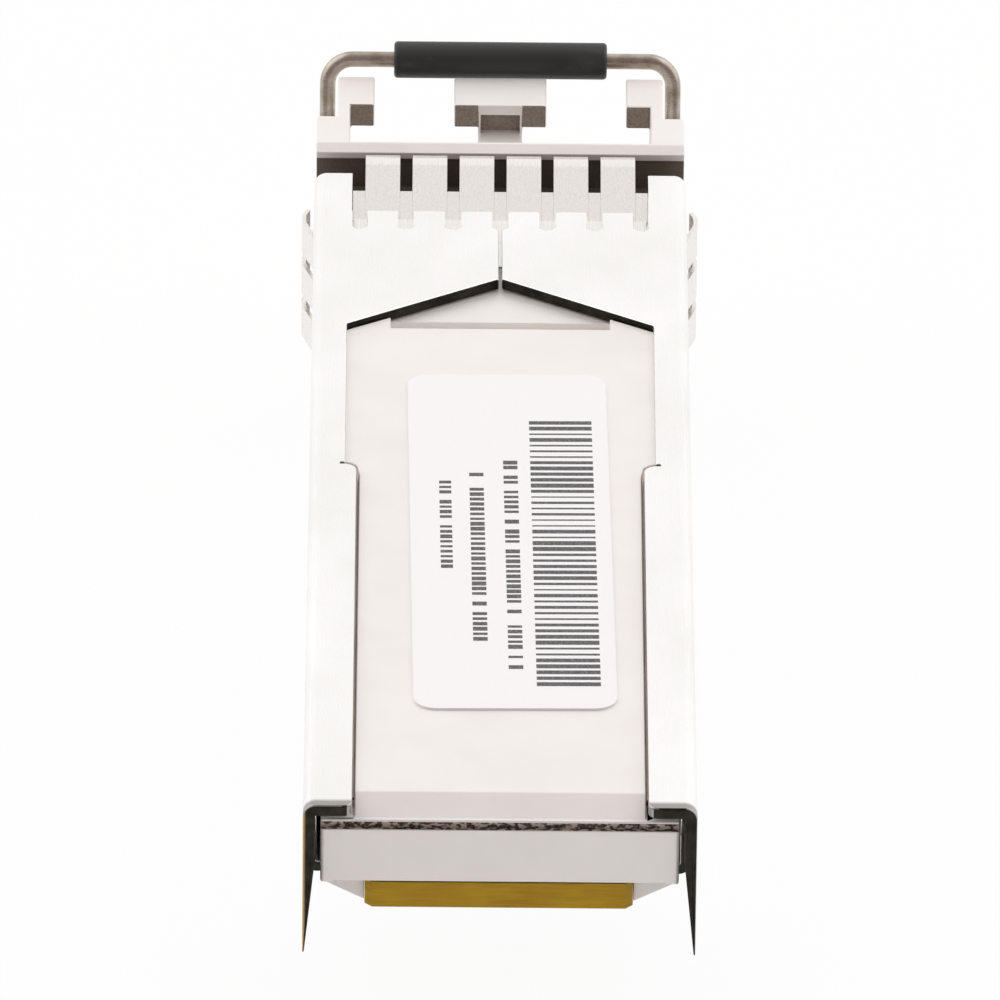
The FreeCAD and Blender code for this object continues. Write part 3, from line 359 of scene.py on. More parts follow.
def painted_recess_shade():
    """Painted shade for the recesses: a dark matt colour standing for the shade in them, darkest below the
    stop.
    """
    material, tree, shader = new_finish("painted_recess_shade", (0.3, 0.25, 0.21), 0.2, 0.6)
    pits = grain(tree, 0.08, (1, 1, 1), 3.0)
    below_stop = spread(tree, along(tree, "Y"), 1, 0, REAR + STOP_SHADE[0] * MM, REAR + STOP_SHADE[1] * MM)
    shade = tint(tree, below_stop, (0.35, 0.29, 0.245), (0.2, 0.165, 0.128))
    paint(tree, shader, tint(tree, spread(tree, pits, 0, 0.5), shade, (0.12, 0.1, 0.08)))
    roughen(tree, shader, pits, 0.5, 0.72)
    dent(tree, shader, pits, 0.003)
    return material


def dark_joint_and_shade():
    """The joint between cover and shoulder, dark and broken by bright specks; the same dark finish is
    painted shade on the faces under the rails.
    """
    material, tree, shader = new_finish("dark_joint_and_shade", (0.05, 0.04, 0.034), 0.2, 0.7)
    blots = grain(tree, 0.16, (1.5, 1, 1), 4.0)
    specks = grain(tree, 0.07, (1, 1, 1), 2.0)
    dark = tint(tree, spread(tree, specks, 0, 1, 0.4, 0.62), (0.03, 0.021, 0.014), (0.2, 0.15, 0.11))
    mottle(tree, shader, blots, dark, (0.7, 0.62, 0.56), 0.48, 0.56)
    roughen(tree, shader, specks, 0.55, 0.8)
    dent(tree, shader, blots, 0.02)
    return material


def latch_plate():
    """Zinc-plated latch steel, slightly cloudy, with rubbed lighter spots."""
    material, tree, shader = new_finish("latch_plate", (0.62, 0.61, 0.59), 1.0, 0.36)
    cloud = grain(tree, 0.9, (1, 1, 1), 4.0)
    mottle(tree, shader, cloud, (0.68, 0.67, 0.65), (0.5, 0.485, 0.46))
    roughen(tree, shader, cloud, 0.28, 0.45)
    dent(tree, shader, grain(tree, 0.05, (1, 8, 1), 2.0), 0.001)
    return material


def board_mask():
    """Green solder mask with the faint relief of the traces below."""
    material, tree, shader = new_finish("board_mask", (0.02, 0.12, 0.05), 0.0, 0.35)
    traces = grain(tree, 0.35, (1, 9, 1), 0.0)
    mottle(tree, shader, traces, (0.014, 0.085, 0.036), (0.03, 0.16, 0.066), 0.46, 0.52)
    roughen(tree, shader, grain(tree, 0.05), 0.28, 0.42)
    dent(tree, shader, traces, 0.006)
    return material


def board_edge():
    """Routed glass laminate: mustard resin with fine layers."""
    material, tree, shader = new_finish("board_edge", (0.5, 0.29, 0.03), 0.0, 0.5)
    shader.inputs["Specular IOR Level"].default_value = 0.2
    layers = grain(tree, 0.06, (20, 20, 1), 2.0)
    patches = grain(tree, 0.8, (2, 1, 1), 3.0)
    resin = tint(tree, spread(tree, patches, 0, 1), (0.66, 0.4, 0.02), (0.54, 0.325, 0.017))
    paint(tree, shader, tint(tree, spread(tree, layers, 0, 0.3), resin, (0.28, 0.15, 0.014)))
    roughen(tree, shader, layers, 0.4, 0.62)
    dent(tree, shader, layers, 0.004)
    return material


def grained(name, base, metallic, roughness, pattern, first, second, rough, depth=0, part=None, fine=None):
    """A finish whose grain sets its colour and, without a finer one, its roughness and relief."""
    material, tree, shader = new_finish(name, base, metallic, roughness)
    shade = grain(tree, *pattern)
    texture = grain(tree, *fine) if fine else shade
    factor = spread(tree, shade, 0, 1, *part) if part else shade
    paint(tree, shader, tint(tree, factor, first, second))
    roughen(tree, shader, texture, *rough)
    if depth:
        dent(tree, shader, texture, depth)
    return material


# Plain colour, metallic share and roughness; the grain's size, stretch and detail; the two colours, the two
# roughnesses; the depth of the relief; the part of the grain that takes the colours; the finer grain.
GRAINED = {
    # Zinc casting under a satin nickel plate: warm white, with the soft orange peel of the casting
    "satin_casting": ((0.9, 0.87, 0.845), 0.25, 0.46, (2.6,),
                      (0.915, 0.885, 0.86), (0.875, 0.842, 0.815), (0.4, 0.54), 0.0025, (0.3, 0.7),
                      (0.12,)),
    # Charcoal moulded plastic with a fine matt grain and a few paler rubs
    "charcoal_grip": ((0.03, 0.029, 0.029), 0.0, 0.5, (0.6, (3, 1, 1), 4.0),
                      (0.022, 0.022, 0.022), (0.05, 0.049, 0.048), (0.42, 0.6), 0.003, (0.55, 0.8),
                      (0.03,)),
    # Drawn wire, nickel-plated and a little browned, with die lines along it
    "bail_nickel": ((0.5, 0.44, 0.38), 1.0, 0.32, (0.7, (1, 1, 1), 4.0),
                    (0.56, 0.51, 0.46), (0.34, 0.27, 0.21), (0.24, 0.42), 0.001, (0.3, 0.7),
                    (0.03, (12, 12, 1), 2.0)),
    # Polished spring strip with drawing streaks that run along each finger
    "spring_strip": ((0.86, 0.835, 0.81), 0.9, 0.22, (0.04, (1, 30, 1), 2.0),
                     (0.9, 0.875, 0.85), (0.81, 0.78, 0.755), (0.16, 0.27), 0.0005, (0.3, 0.7)),
    # White polyester film with a faint mottle
    "white_film": ((0.95, 0.95, 0.95), 0.0, 0.4, (0.08, (1, 1, 1), 4.0),
                   (0.96, 0.96, 0.96), (0.92, 0.92, 0.925), (0.36, 0.5), 0.0008),
    # Thermal ink, a little broken where the film's mottle kept it off
    "label_ink": ((0.09, 0.09, 0.095), 0.0, 0.6, (0.05, (1, 1, 1), 4.0),
                  (0.07, 0.07, 0.074), (0.4, 0.4, 0.41), (0.5, 0.7), 0, (0.5, 0.8)),
    # Hard gold, worn a little along the module
    "plated_gold": ((0.85, 0.6, 0.24), 1.0, 0.26, (0.1, (1, 8, 1)),
                    (0.88, 0.64, 0.27), (0.74, 0.5, 0.18), (0.2, 0.36), 0.0008, (0.3, 0.7)),
    # Black moulding compound with a spark-eroded texture
    "mould_resin": ((0.02, 0.02, 0.021), 0.0, 0.62, (0.03,),
                    (0.016, 0.016, 0.017), (0.032, 0.032, 0.033), (0.52, 0.72), 0.003),
    # Tan capacitor ceramic with a fine speck
    "tan_ceramic": ((0.4, 0.26, 0.14), 0.0, 0.4, (0.05,),
                    (0.44, 0.29, 0.16), (0.34, 0.21, 0.11), (0.32, 0.48), 0.002),
    # Bright tin on the capacitors' ends, a little rippled by the solder
    "tinned_end": ((0.75, 0.74, 0.72), 1.0, 0.3, (0.09,),
                   (0.8, 0.79, 0.77), (0.66, 0.65, 0.63), (0.22, 0.4), 0.004),
    # Sintered ferrite, dark grey and finely pitted
    "grey_ferrite": ((0.06, 0.06, 0.063), 0.1, 0.55, (0.04,),
                     (0.05, 0.05, 0.053), (0.09, 0.09, 0.094), (0.45, 0.65), 0.003),
    # Turned stainless steel with the tool's rings round its axis
    "lathe_steel": ((0.62, 0.6, 0.58), 1.0, 0.28, (0.05, (60, 1, 60), 2.0),
                    (0.66, 0.64, 0.62), (0.52, 0.5, 0.48), (0.2, 0.38), 0.0015, (0.3, 0.7)),
    # Ground zirconia, glossy and faintly clouded
    "white_ceramic": ((0.88, 0.87, 0.84), 0.0, 0.18, (0.3,),
                      (0.9, 0.89, 0.86), (0.84, 0.83, 0.79), (0.12, 0.24)),
    # Amber polyimide with copper runs below it
    "amber_film": ((0.45, 0.2, 0.03), 0.0, 0.3, (0.3, (1, 20, 20), 0.0),
                   (0.42, 0.18, 0.026), (0.58, 0.28, 0.08), (0.24, 0.36), 0.004, (0.47, 0.53)),
    # Black rubber with a dusty bloom
    "black_rubber": ((0.022, 0.022, 0.022), 0.0, 0.75, (0.3,),
                     (0.018, 0.018, 0.018), (0.034, 0.034, 0.034), (0.66, 0.84), 0.002),
}

FINISHES = {make.__name__: make() for make in (
    bright_sheet, sheared_edge, browned_edge, painted_recess_shade, dark_joint_and_shade, latch_plate, board_mask, board_edge)}
for grained_name, values in GRAINED.items():
    FINISHES[grained_name] = grained(grained_name, *values)

# The finish of every node that keeps its own solid.
NODE_FINISHES = {
    "latch_pin": "latch_plate", "contact_pads": "plated_gold",
    "laser_driver": "mould_resin", "receive_amplifier": "mould_resin", "controller": "mould_resin",
    "memory_chip": "mould_resin", "inductors": "grey_ferrite",
    "transmitter_barrel": "lathe_steel", "receiver_barrel": "lathe_steel",
    "transmitter_sleeve": "white_ceramic", "receiver_sleeve": "white_ceramic",
    "transmitter_can": "plated_gold", "receiver_can": "plated_gold",
    "transmitter_leads": "plated_gold", "receiver_leads": "plated_gold",
    "transmitter_flex": "amber_film", "receiver_flex": "amber_film",
    "optics_clamp": "lathe_steel", "optics_gasket": "black_rubber",
}


def dress_nodes():
    for node, finish in NODE_FINISHES.items():
        materials = nodes[node].data.materials
        materials.clear()
        materials.append(FINISHES[finish])


def new_piece(name, mesh, finishes):
    piece = bpy.data.objects.new(name, mesh)
    scene.collection.objects.link(piece)
    for finish in finishes:
        mesh.materials.append(FINISHES[finish])
    return piece


def fit(name, mesh, finishes, body, slot, *stood_for):
    """Make a piece that rides on a body and hide the nodes it stands for."""
    piece = new_piece(name, mesh, finishes)
    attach(piece, body)
    if stood_for:
        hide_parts(*stood_for)


def plain_mesh(name, carrier):
    """The evaluated shape of a carrier object as a mesh of its own; the carrier goes."""
    bpy.context.view_layer.update()
    evaluated = carrier.evaluated_get(bpy.context.evaluated_depsgraph_get())
    mesh = bpy.data.meshes.new_from_object(evaluated)
    mesh.name = name
    bpy.data.objects.remove(carrier)
    return mesh


def mesh_of(name, shape):
    mesh = bpy.data.meshes.new(name)
    shape.to_mesh(mesh)
    shape.free()
    return mesh


def smooth_mesh(name, shape, sharp_angle):
    """The mesh of a shape with its faces turned outwards and smooth, but for edges sharper than an angle."""
    bmesh.ops.recalc_face_normals(shape, faces=shape.faces)
    for face in shape.faces:
        face.smooth = True
        face.material_index = 0
    mesh = mesh_of(name, shape)
    mesh.set_sharp_from_angle(angle=math.radians(sharp_angle))
    return mesh


def new_recipe(name, sizes):
    """A geometry node tree with a named input for each size; returns it and its inputs."""
    tree = bpy.data.node_groups.new(name, "GeometryNodeTree")
    tree.interface.new_socket("Geometry", in_out="INPUT", socket_type="NodeSocketGeometry")
    for label, kind in sizes.items():
        tree.interface.new_socket(label, in_out="INPUT", socket_type=f"NodeSocket{kind}")
    tree.interface.new_socket("Geometry", in_out="OUTPUT", socket_type="NodeSocketGeometry")
    return tree, tree.nodes.new("NodeGroupInput").outputs


def end_recipe(tree, geometry, finish):
    solid = add(tree, "GeometryNodeRealizeInstances", {"Geometry": geometry})
    painted = add(tree, "GeometryNodeSetMaterial",
                  {"Geometry": solid.outputs[0], "Material": FINISHES[finish]})
    result = tree.nodes.new("NodeGroupOutput")
    tree.links.new(painted.outputs[0], result.inputs[0])


def row_points(tree, sizes, axis):
    """Points in a row along an axis, as many and as far apart as a recipe's inputs say."""
    step = add(tree, "ShaderNodeCombineXYZ", {axis: sizes["Pitch"]})
    row = add(tree, "GeometryNodeMeshLine", {"Count": sizes["Count"], "Offset": step.outputs[0]})
    return row.outputs[0]


def follow_recipe(name, tree, values, start=None):
    """Run a recipe on a starting mesh with its sizes set, and return the result as a plain mesh."""
    carrier = bpy.data.objects.new(name, start or bpy.data.meshes.new(name))
    scene.collection.objects.link(carrier)
    modifier = carrier.modifiers.new(name, "NODES")
    modifier.node_group = tree
    for item in tree.interface.items_tree:
        if item.in_out == "INPUT" and item.name in values:
            modifier[item.identifier] = values[item.name]
    return plain_mesh(name, carrier)


def merged_copy(node):
    """A node's shape with its triangles joined, its flat faces made whole and its real edges marked."""
    mesh = nodes[node].data.copy()
    corners = mesh.attributes.new("cad_normal", "FLOAT_VECTOR", "CORNER")
    corners.data.foreach_set("vector", [part for corner in mesh.corner_normals for part in corner.vector])
    mesh.materials.clear()
    shape = bmesh.new()
    shape.from_mesh(mesh)
    bmesh.ops.remove_doubles(shape, verts=shape.verts, dist=MERGE * MM)
    normal = shape.loops.layers.float_vector["cad_normal"]
    for edge in shape.edges:
        edge.smooth = not breaks_at(edge, normal)
    bmesh.ops.dissolve_limit(shape, angle_limit=math.radians(FLAT_ANGLE), verts=shape.verts,
                             edges=shape.edges, use_dissolve_boundaries=False)
    shape.loops.layers.float_vector.remove(normal)
    for face in shape.faces:
        face.smooth = True
    return shape


def breaks_at(edge, normal):
    """True where the solid's own surface turns a corner at an edge."""
    if len(edge.link_faces) != 2:
        return True
    corners = [loop for face in edge.link_faces for loop in face.loops]
    for vert in edge.verts:
        first, second = (loop[normal] for loop in corners if loop.vert == vert)
        if first.angle(second) > math.radians(CORNER_ANGLE):
            return True
    return False


def soft_edges(name, shape, widest, width_of, round_finish=-1):
    """Round the marked edges of a shape, each by width_of(edge) millimetres, and return the plain mesh.

    The rounded strips take the finish with the given index, or without one that of a face beside them.
    """
    weight = shape.edges.layers.float.new("bevel_weight_edge")
    for edge in shape.edges:
        if not edge.smooth and edge.calc_face_angle(0) > math.radians(ROUND_ANGLE):
            edge[weight] = width_of(edge) / widest
            edge.smooth = edge[weight] > 0
    mesh = mesh_of(name, shape)
    if "custom_normal" in mesh.attributes:
        mesh.attributes.remove(mesh.attributes["custom_normal"])
    carrier = bpy.data.objects.new(name, mesh)
    scene.collection.objects.link(carrier)
    rounding = carrier.modifiers.new("rounding", "BEVEL")
    rounding.limit_method = "WEIGHT"
    rounding.offset_type = "OFFSET"
    rounding.width = widest * MM
    rounding.segments = 3
    rounding.use_clamp_overlap = False
    rounding.harden_normals = True
    rounding.material = round_finish
    return plain_mesh(name, carrier)


def middle(edge):
    return local((edge.verts[0].co + edge.verts[1].co) / 2)


def near(value, *targets):
    return any(abs(value - target) < NEAR for target in targets)


def arc(x, y, radius, start, steps):
    """Points of a quarter circle about a centre, from a start angle in degrees."""
    turns = [math.radians(start + 90 / steps * step) for step in range(steps + 1)]
    return [(x + radius * math.cos(turn), y + radius * math.sin(turn)) for turn in turns]


def is_sheet_face(face):
    """True on the shell's rolled faces and bends, False on the faces that the shears cut."""
    centre = local(face.calc_center_median())
    normal = face.normal
    if abs(normal.y) > LEANING:
        return False
    if abs(normal.x) > SQUARE:
        return near(abs(centre.x), SHELL_HALF, SHELL_HALF - SHEET)
    if abs(normal.z) > SQUARE:
        return near(centre.z, 0, SHEET, SHELL_TOP - SHEET, SHELL_TOP)
    return SHELL_HALF - abs(centre.x) < SHEET_BEND and min(centre.z, SHELL_TOP - centre.z) < SHEET_BEND


def on_rail_round(face):
    """True on the tumbled corners at the inner rear ends of the two top rails."""
    centre = local(face.calc_center_median())
    low, high = RAIL_ROUND_TURN
    return centre.z > SHELL_TOP - SHEET and centre.y < RAIL_ROUND and low < face.normal.y < high


def sheet_finish(face):
    """The shell finish of a face: 0 bright sheet, 1 sheared edge, 2 browned edge."""
    if is_sheet_face(face) or on_rail_round(face):
        return 0
    centre = local(face.calc_center_median())
    if centre.z < SHELL_TOP - SHEET or abs(face.normal.z) > UPWARD:
        return 1
    in_notch = NOTCH_ENDS[0] < centre.y < NOTCH_ENDS[1] + NOTCH_MARGIN
    if near(abs(centre.x), FRONT_RAIL, SLIT_HALF) or in_notch:
        return 0
    return 2 if near(abs(centre.x), REAR_RAIL) or RAIL_STEP[0] < centre.y < RAIL_STEP[1] else 1


def bend_foot(place):
    """Height that parts the shell's outer bend from its inner one at a point across the bend."""
    reach = abs(place.x) - (SHELL_HALF - SHEET_BEND)
    middle_radius = SHEET_BEND - SHEET / 2
    return SHELL_TOP - SHEET_BEND + math.sqrt(max(0.0, middle_radius ** 2 - reach ** 2))


def sheet_width(edge):
    """How far the shell is rounded at an edge: most along the roof's slant and at the rails' rear ends."""
    place = middle(edge)
    inside = abs(place.x) < SHELL_HALF - SHEET + NEAR and place.z < SHELL_TOP - SHEET + NEAR
    if inside and near(place.y, 0):
        return 0
    flat_top = place.z > SHELL_TOP - FLUSH
    in_bend = abs(place.x) > SHELL_HALF - SHEET_BEND and place.z > bend_foot(place)
    if flat_top and ROOF_REAR < place.y < ROOF_PEAK:
        return SHEET_ROLL
    if not (flat_top or in_bend) or place.y > RAIL_ROUND:
        return SHEET_EDGE
    rolled = max(0.0, 1 - (SHELL_TOP - place.z) / SHEET_BEND) * (1 - place.y / RAIL_ROUND)
    return SHEET_EDGE + (SHEET_ROLL - SHEET_EDGE) * rolled


def straighten_tongues(shell):
    """Bring the outer walls of the outermost notches in line with the tongues in front of them."""
    for vert in shell.verts:
        place = local(vert.co)
        if near(abs(place.x), NOTCH_OUTER) and near(place.y, *NOTCH_ENDS):
            vert.co.x = math.copysign(TONGUE_INNER * MM, place.x)
    bmesh.ops.remove_doubles(shell, verts=shell.verts, dist=MERGE * MM)


def build_shell():
    shell = merged_copy("outer_shell")
    straighten_tongues(shell)
    for face in shell.faces:
        face.material_index = sheet_finish(face)
    mesh = soft_edges("shell_sheet", shell, SHEET_ROLL, sheet_width)
    fit("shell_sheet", mesh, ["bright_sheet", "sheared_edge", "browned_edge"],
        "module", "shell_sheet", "outer_shell")


def close_cover(cover):
    """Fit the wings to the rails and draw the deck's front edge up to the spring collar."""
    for vert in cover.verts:
        place = local(vert.co)
        if place.z > DECK_TOP and abs(place.x) > PANEL_HALF and RAIL_STEP[0] < place.y < RAIL_STEP[1]:
            vert.co.y += WING_SETBACK * MM
        if near(abs(place.x), WING_HALF) and place.z > DECK_TOP:
            vert.co.x = math.copysign((FRONT_RAIL - WING_GAP) * MM, place.x)
        if near(place.y, DECK_FRONT) and near(place.z, DECK_TOP):
            vert.co.y = REAR + DECK_REACH * MM


def cover_width(edge):
    """How far the cover is rounded at an edge: most at the shoulder's upright corners, not at the wings."""
    place = middle(edge)
    if near(abs(place.x), FRONT_RAIL - WING_GAP):
        return 0
    upright = abs((edge.verts[0].co - edge.verts[1].co).normalized().z) > UPRIGHT
    at_corner = upright and near(place.y, SHOULDER_REAR) and place.z < SHOULDER_TOP
    return SHOULDER_CORNER if at_corner else COVER_EDGE


def build_cover():
    cover = merged_copy("top_cover")
    close_cover(cover)
    for face in cover.faces:
        place = local(face.calc_center_median())
        # The joint's groove is dark, and the faces under the rails take the same dark finish as painted
        # shade.
        in_groove = SEAM_LOW < place.z < SEAM_HIGH and place.y < SEAM_DEPTH
        below_rail = near(place.y, DECK_REAR) and abs(place.x) > PANEL_HALF
        face.material_index = 1 if in_groove or below_rail else 0
    mesh = soft_edges("cover_casting", cover, SHOULDER_CORNER, cover_width)
    fit("cover_casting", mesh, ["satin_casting", "dark_joint_and_shade"], "module", "plated_casting", "top_cover")


def fettle_plug(plug):
    """Flatten the stop's slope towards its tumbled rear edge and bring the cheeks up to the card edge."""
    for vert in plug.verts:
        place = local(vert.co)
        if near(place.y, STOP_FOOT[0]) and near(place.z, STOP_FOOT[1]):
            vert.co.z += (STOP_FOOT_RAISED - STOP_FOOT[1]) * MM
        if near(abs(place.x), CHEEK_INNER) and place.y < CHEEK_FRONT:
            vert.co.x = math.copysign(CHEEK_REACH * MM, place.x)


def behind_lip(face):
    return face.normal.y < -SQUARE and near(local(face.calc_center_median()).y, LIP_REAR)


def mark_recesses(plug):
    """Part the lips' rear faces at the divider's sides and give the recesses a dark finish of painted shade.
    """
    for side in (-1, 1):
        lips = [face for face in plug.faces if behind_lip(face)]
        rims = {edge for face in lips for edge in face.edges}
        ends = {vert for face in lips for vert in face.verts}
        bmesh.ops.bisect_plane(plug, geom=[*lips, *rims, *ends], dist=MERGE * MM,
                               plane_co=spot(side * DIVIDER_HALF, 0, 0), plane_no=(1, 0, 0))
    (rear, front), (low, high) = STOP_RECESS
    for face in plug.faces:
        place = local(face.calc_center_median())
        # Faces below the stop, beside the key slots and in the pocket take the dark finish of painted shade.
        below_stop = rear < place.y < front and low < place.z < high
        beside_slot = behind_lip(face) and abs(place.x) > DIVIDER_HALF
        in_pocket = (abs(place.x) < DIVIDER_HALF and POCKET_UP[0] < place.z < POCKET_UP[1]
                     and POCKET_ENDS[0] < place.y - POCKET_MARGIN < POCKET_ENDS[-1])
        face.smooth = True
        face.material_index = 1 if below_stop or beside_slot or in_pocket else 0


def plug_width(edge):
    """How far the plug casting is rounded at an edge: little round the pocket and behind the stop."""
    place = middle(edge)
    round_pocket = abs(place.x) < POCKET_REACH and near(place.y, *POCKET_ENDS) and place.z < POCKET_ROOF
    return PLUG_FINE_EDGE if round_pocket or place.y < STOP_EDGE else PLUG_EDGE


def build_plug():
    plug = merged_copy("base_housing")
    fettle_plug(plug)
    mark_recesses(plug)
    mesh = soft_edges("plug_casting", plug, PLUG_EDGE, plug_width)
    fit("plug_casting", mesh, ["satin_casting", "painted_recess_shade"], "module", "plated_casting", "base_housing")


def build_latch_plate():
    mesh = soft_edges("latch_plate", merged_copy("latch_lever"), LATCH_EDGE, lambda edge: LATCH_EDGE)
    fit("latch_plate", mesh, ["latch_plate"], "latch", "latch_steel", "latch_lever")


def build_latch_leaf():
    """The leaf that presses on the latch, as a piece of its own."""
    mesh = soft_edges("latch_leaf", merged_copy("latch_spring"), LEAF_EDGE, lambda edge: LEAF_EDGE)
    piece = new_piece("latch_leaf", mesh, ["spring_strip"])
    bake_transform(piece)
    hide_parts("latch_spring")


def line_mesh(name, points, bends=None):
    """An open line of joined points, each with the radius its corner is rounded to."""
    mesh = bpy.data.meshes.new(name)
    mesh.from_pydata(points, [(k, k + 1) for k in range(len(points) - 1)], [])
    if bends:
        mesh.attributes.new("bend", "FLOAT", "POINT").data.foreach_set("value", bends)
    return mesh


def finger_recipe():
    """A row of like strips, each bent along the line it is given."""
    tree, sizes = new_recipe("finger_row", {"Count": "Int", "Pitch": "Float", "Width": "Float",
                                            "Thickness": "Float", "Bend": "Float"})
    spine = add(tree, "GeometryNodeMeshToCurve", {"Mesh": sizes["Geometry"]})
    bent = add(tree, "GeometryNodeFilletCurve",
               {"Curve": spine.outputs[0], "Count": BEND_STEPS, "Radius": sizes["Bend"],
                "Limit Radius": True}, mode="POLY")
    section = add(tree, "GeometryNodeCurvePrimitiveQuadrilateral",
                  {"Width": sizes["Width"], "Height": sizes["Thickness"]})
    strip = add(tree, "GeometryNodeCurveToMesh", {"Curve": bent.outputs[0],
                                                  "Profile Curve": section.outputs[0], "Fill Caps": True})
    row = row_points(tree, sizes, "X")
    fingers = add(tree, "GeometryNodeInstanceOnPoints",
                  {"Points": row, "Instance": strip.outputs[0]})
    end_recipe(tree, fingers.outputs[0], "spring_strip")
    return tree


def collar_section(inset):
    """Points round the collar's band in its cross-section, from one side of the latch gap to the other."""
    half = SHELL_HALF - SHEET - inset
    low, high = SHEET + inset, SHELL_TOP - SHEET - inset
    bend = COLLAR_BEND - inset
    corners = [(half, low, -90), (half, high, 0), (-half, high, 90), (-half, low, 180)]
    points = [(COLLAR_GAP, low)]
    for x, z, start in corners:
        level = z + bend if z == low else z - bend
        points += arc(x - math.copysign(bend, x), level, bend, start, BEND_STEPS)
    points.append((-COLLAR_GAP, low))
    return points


def collar_band():
    """The band that carries the fingers, with its outer and inner wall, open over the latch."""
    shape = bmesh.new()
    rings = []
    for forward in (COLLAR_REAR, COLLAR_FRONT):
        for inset in (0, COLLAR_SHEET):
            rings.append([shape.verts.new(spot(x, forward, z)) for x, z in collar_section(inset)])
    outer_rear, inner_rear, outer_front, inner_front = rings
    loops = [outer_rear, outer_front, inner_front, inner_rear]
    for first, second in zip(loops, loops[1:] + loops[:1]):
        for k in range(len(first) - 1):
            shape.faces.new((first[k], first[k + 1], second[k + 1], second[k]))
    for end in (0, -1):
        shape.faces.new([loop[end] for loop in loops])
    return shape


def build_collar():
    shape = collar_band()
    recipe = finger_recipe()
    ceiling = SHELL_TOP - SHEET
    wall = SHELL_HALF - SHEET
    first = -(TOP_FINGERS - 1) / 2 * FINGER_PITCH
    side_reach = (SIDE_FINGERS - 1) / 2 * FINGER_PITCH
    web_reach = SIDE_FINGERS / 2 * FINGER_PITCH
    fingers = (FINGER_LINE, FINGER_WIDTH)
    webs = (WEB_LINE, WEB_WIDTH)
    # Each row: its strips, how many, the place of the first one, its turn about the module's long axis, its
    # pitch. The webs join the fingers at their roots.
    rows = [(fingers, TOP_FINGERS, (first, ceiling), 0, FINGER_PITCH),
            (fingers, 2, (-first, SHEET), 180, -2 * first),
            (fingers, SIDE_FINGERS, (-wall, ROW_MIDDLE - side_reach), -90, FINGER_PITCH),
            (fingers, SIDE_FINGERS, (wall, ROW_MIDDLE + side_reach), 90, FINGER_PITCH),
            (webs, TOP_FINGERS + 1, (first - FINGER_PITCH / 2, ceiling), 0, FINGER_PITCH),
            (webs, SIDE_FINGERS + 1, (-wall, ROW_MIDDLE - web_reach), -90, FINGER_PITCH),
            (webs, SIDE_FINGERS + 1, (wall, ROW_MIDDLE + web_reach), 90, FINGER_PITCH)]
    for (line, width), count, (x, z), turn, pitch in rows:
        spine = [(0, forward * MM, (rise - COLLAR_SHEET / 2) * MM) for forward, rise in line]
        mesh = follow_recipe("fingers", recipe, {
            "Count": count, "Pitch": pitch * MM, "Width": width * MM, "Thickness": COLLAR_SHEET * MM,
            "Bend": FINGER_BEND * MM}, line_mesh("finger_line", spine))
        mesh.transform(Matrix.Translation(spot(x, 0, z)) @ Matrix.Rotation(math.radians(turn), 4, "Y"))
        shape.from_mesh(mesh)
    mesh = smooth_mesh("earthing_collar", shape, COLLAR_ANGLE)
    fit("earthing_collar", mesh, ["spring_strip"], "module", "spring_sheet", "spring_collar")


def wire_recipe():
    """A round wire along a line whose corners are bent to their own radii."""
    tree, sizes = new_recipe("bent_wire", {"Wire Radius": "Float", "Facets": "Int"})
    spine = add(tree, "GeometryNodeMeshToCurve", {"Mesh": sizes["Geometry"]})
    bends = add(tree, "GeometryNodeInputNamedAttribute", {"Name": "bend"}, data_type="FLOAT")
    bent = add(tree, "GeometryNodeFilletCurve", {"Curve": spine.outputs[0], "Count": FINE_STEPS,
                                                 "Radius": bends.outputs[0]}, mode="POLY")
    section = add(tree, "GeometryNodeCurvePrimitiveCircle",
                  {"Resolution": sizes["Facets"], "Radius": sizes["Wire Radius"]})
    wire = add(tree, "GeometryNodeCurveToMesh", {"Curve": bent.outputs[0],
                                                 "Profile Curve": section.outputs[0], "Fill Caps": True})
    end_recipe(tree, wire.outputs[0], "bail_nickel")
    return tree


def add_plate(shape, low, high):
    """Add a box between two corners to a shape and return its edges."""
    made = bmesh.ops.create_cube(shape, size=1.0)
    for vert in made["verts"]:
        vert.co = Vector([low[k] + (vert.co[k] + 0.5) * (high[k] - low[k]) for k in range(3)])
    return list({edge for vert in made["verts"] for edge in vert.link_edges})


def build_bail_wire():
    """The wire from one flattened end to the other: out of the nose, up both legs and along the bar."""
    swing = next(joint for joint in frame["joints"] if joint["name"] == "bail_swing")
    pivot = Vector(swing["pos_m"])
    sleeve_low, sleeve_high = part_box("bail_sleeve")
    bar = (sleeve_low + sleeve_high) / 2
    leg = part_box("bail_wire")[1].x - WIRE_RADIUS * MM
    stub = PADDLE_OUTER * MM
    points = []
    bends = []
    for side in (-1, 1):
        run = [((side * stub, pivot.y, pivot.z), 0), ((side * leg, pivot.y, pivot.z), PIVOT_BEND * MM),
               ((side * leg, bar.y, bar.z), BAR_BEND * MM)]
        for point, bend in run[::-side]:
            points.append(point)
            bends.append(bend)
    wire = follow_recipe("bail_wire_tube", wire_recipe(),
                         {"Wire Radius": WIRE_RADIUS * MM, "Facets": WIRE_FACETS},
                         line_mesh("bail_line", points, bends))
    shape = bmesh.new()
    shape.from_mesh(wire)
    for side in (-1, 1):
        inner, outer = sorted((side * PADDLE_INNER * MM, side * PADDLE_OUTER * MM))
        low = (inner, pivot.y - PADDLE_HALF * MM, pivot.z - PADDLE_THICK / 2 * MM)
        high = (outer, pivot.y + PADDLE_HALF * MM, pivot.z + PADDLE_THICK / 2 * MM)
        edges = add_plate(shape, low, high)
        bmesh.ops.bevel(shape, geom=edges, offset=PADDLE_EDGE * MM, segments=2, profile=0.5, affect="EDGES")
    mesh = smooth_mesh("bail_wire_bent", shape, BAIL_ANGLE)
    fit("bail_wire_bent", mesh, ["bail_nickel"], "bail", "wire_steel", "bail_wire")


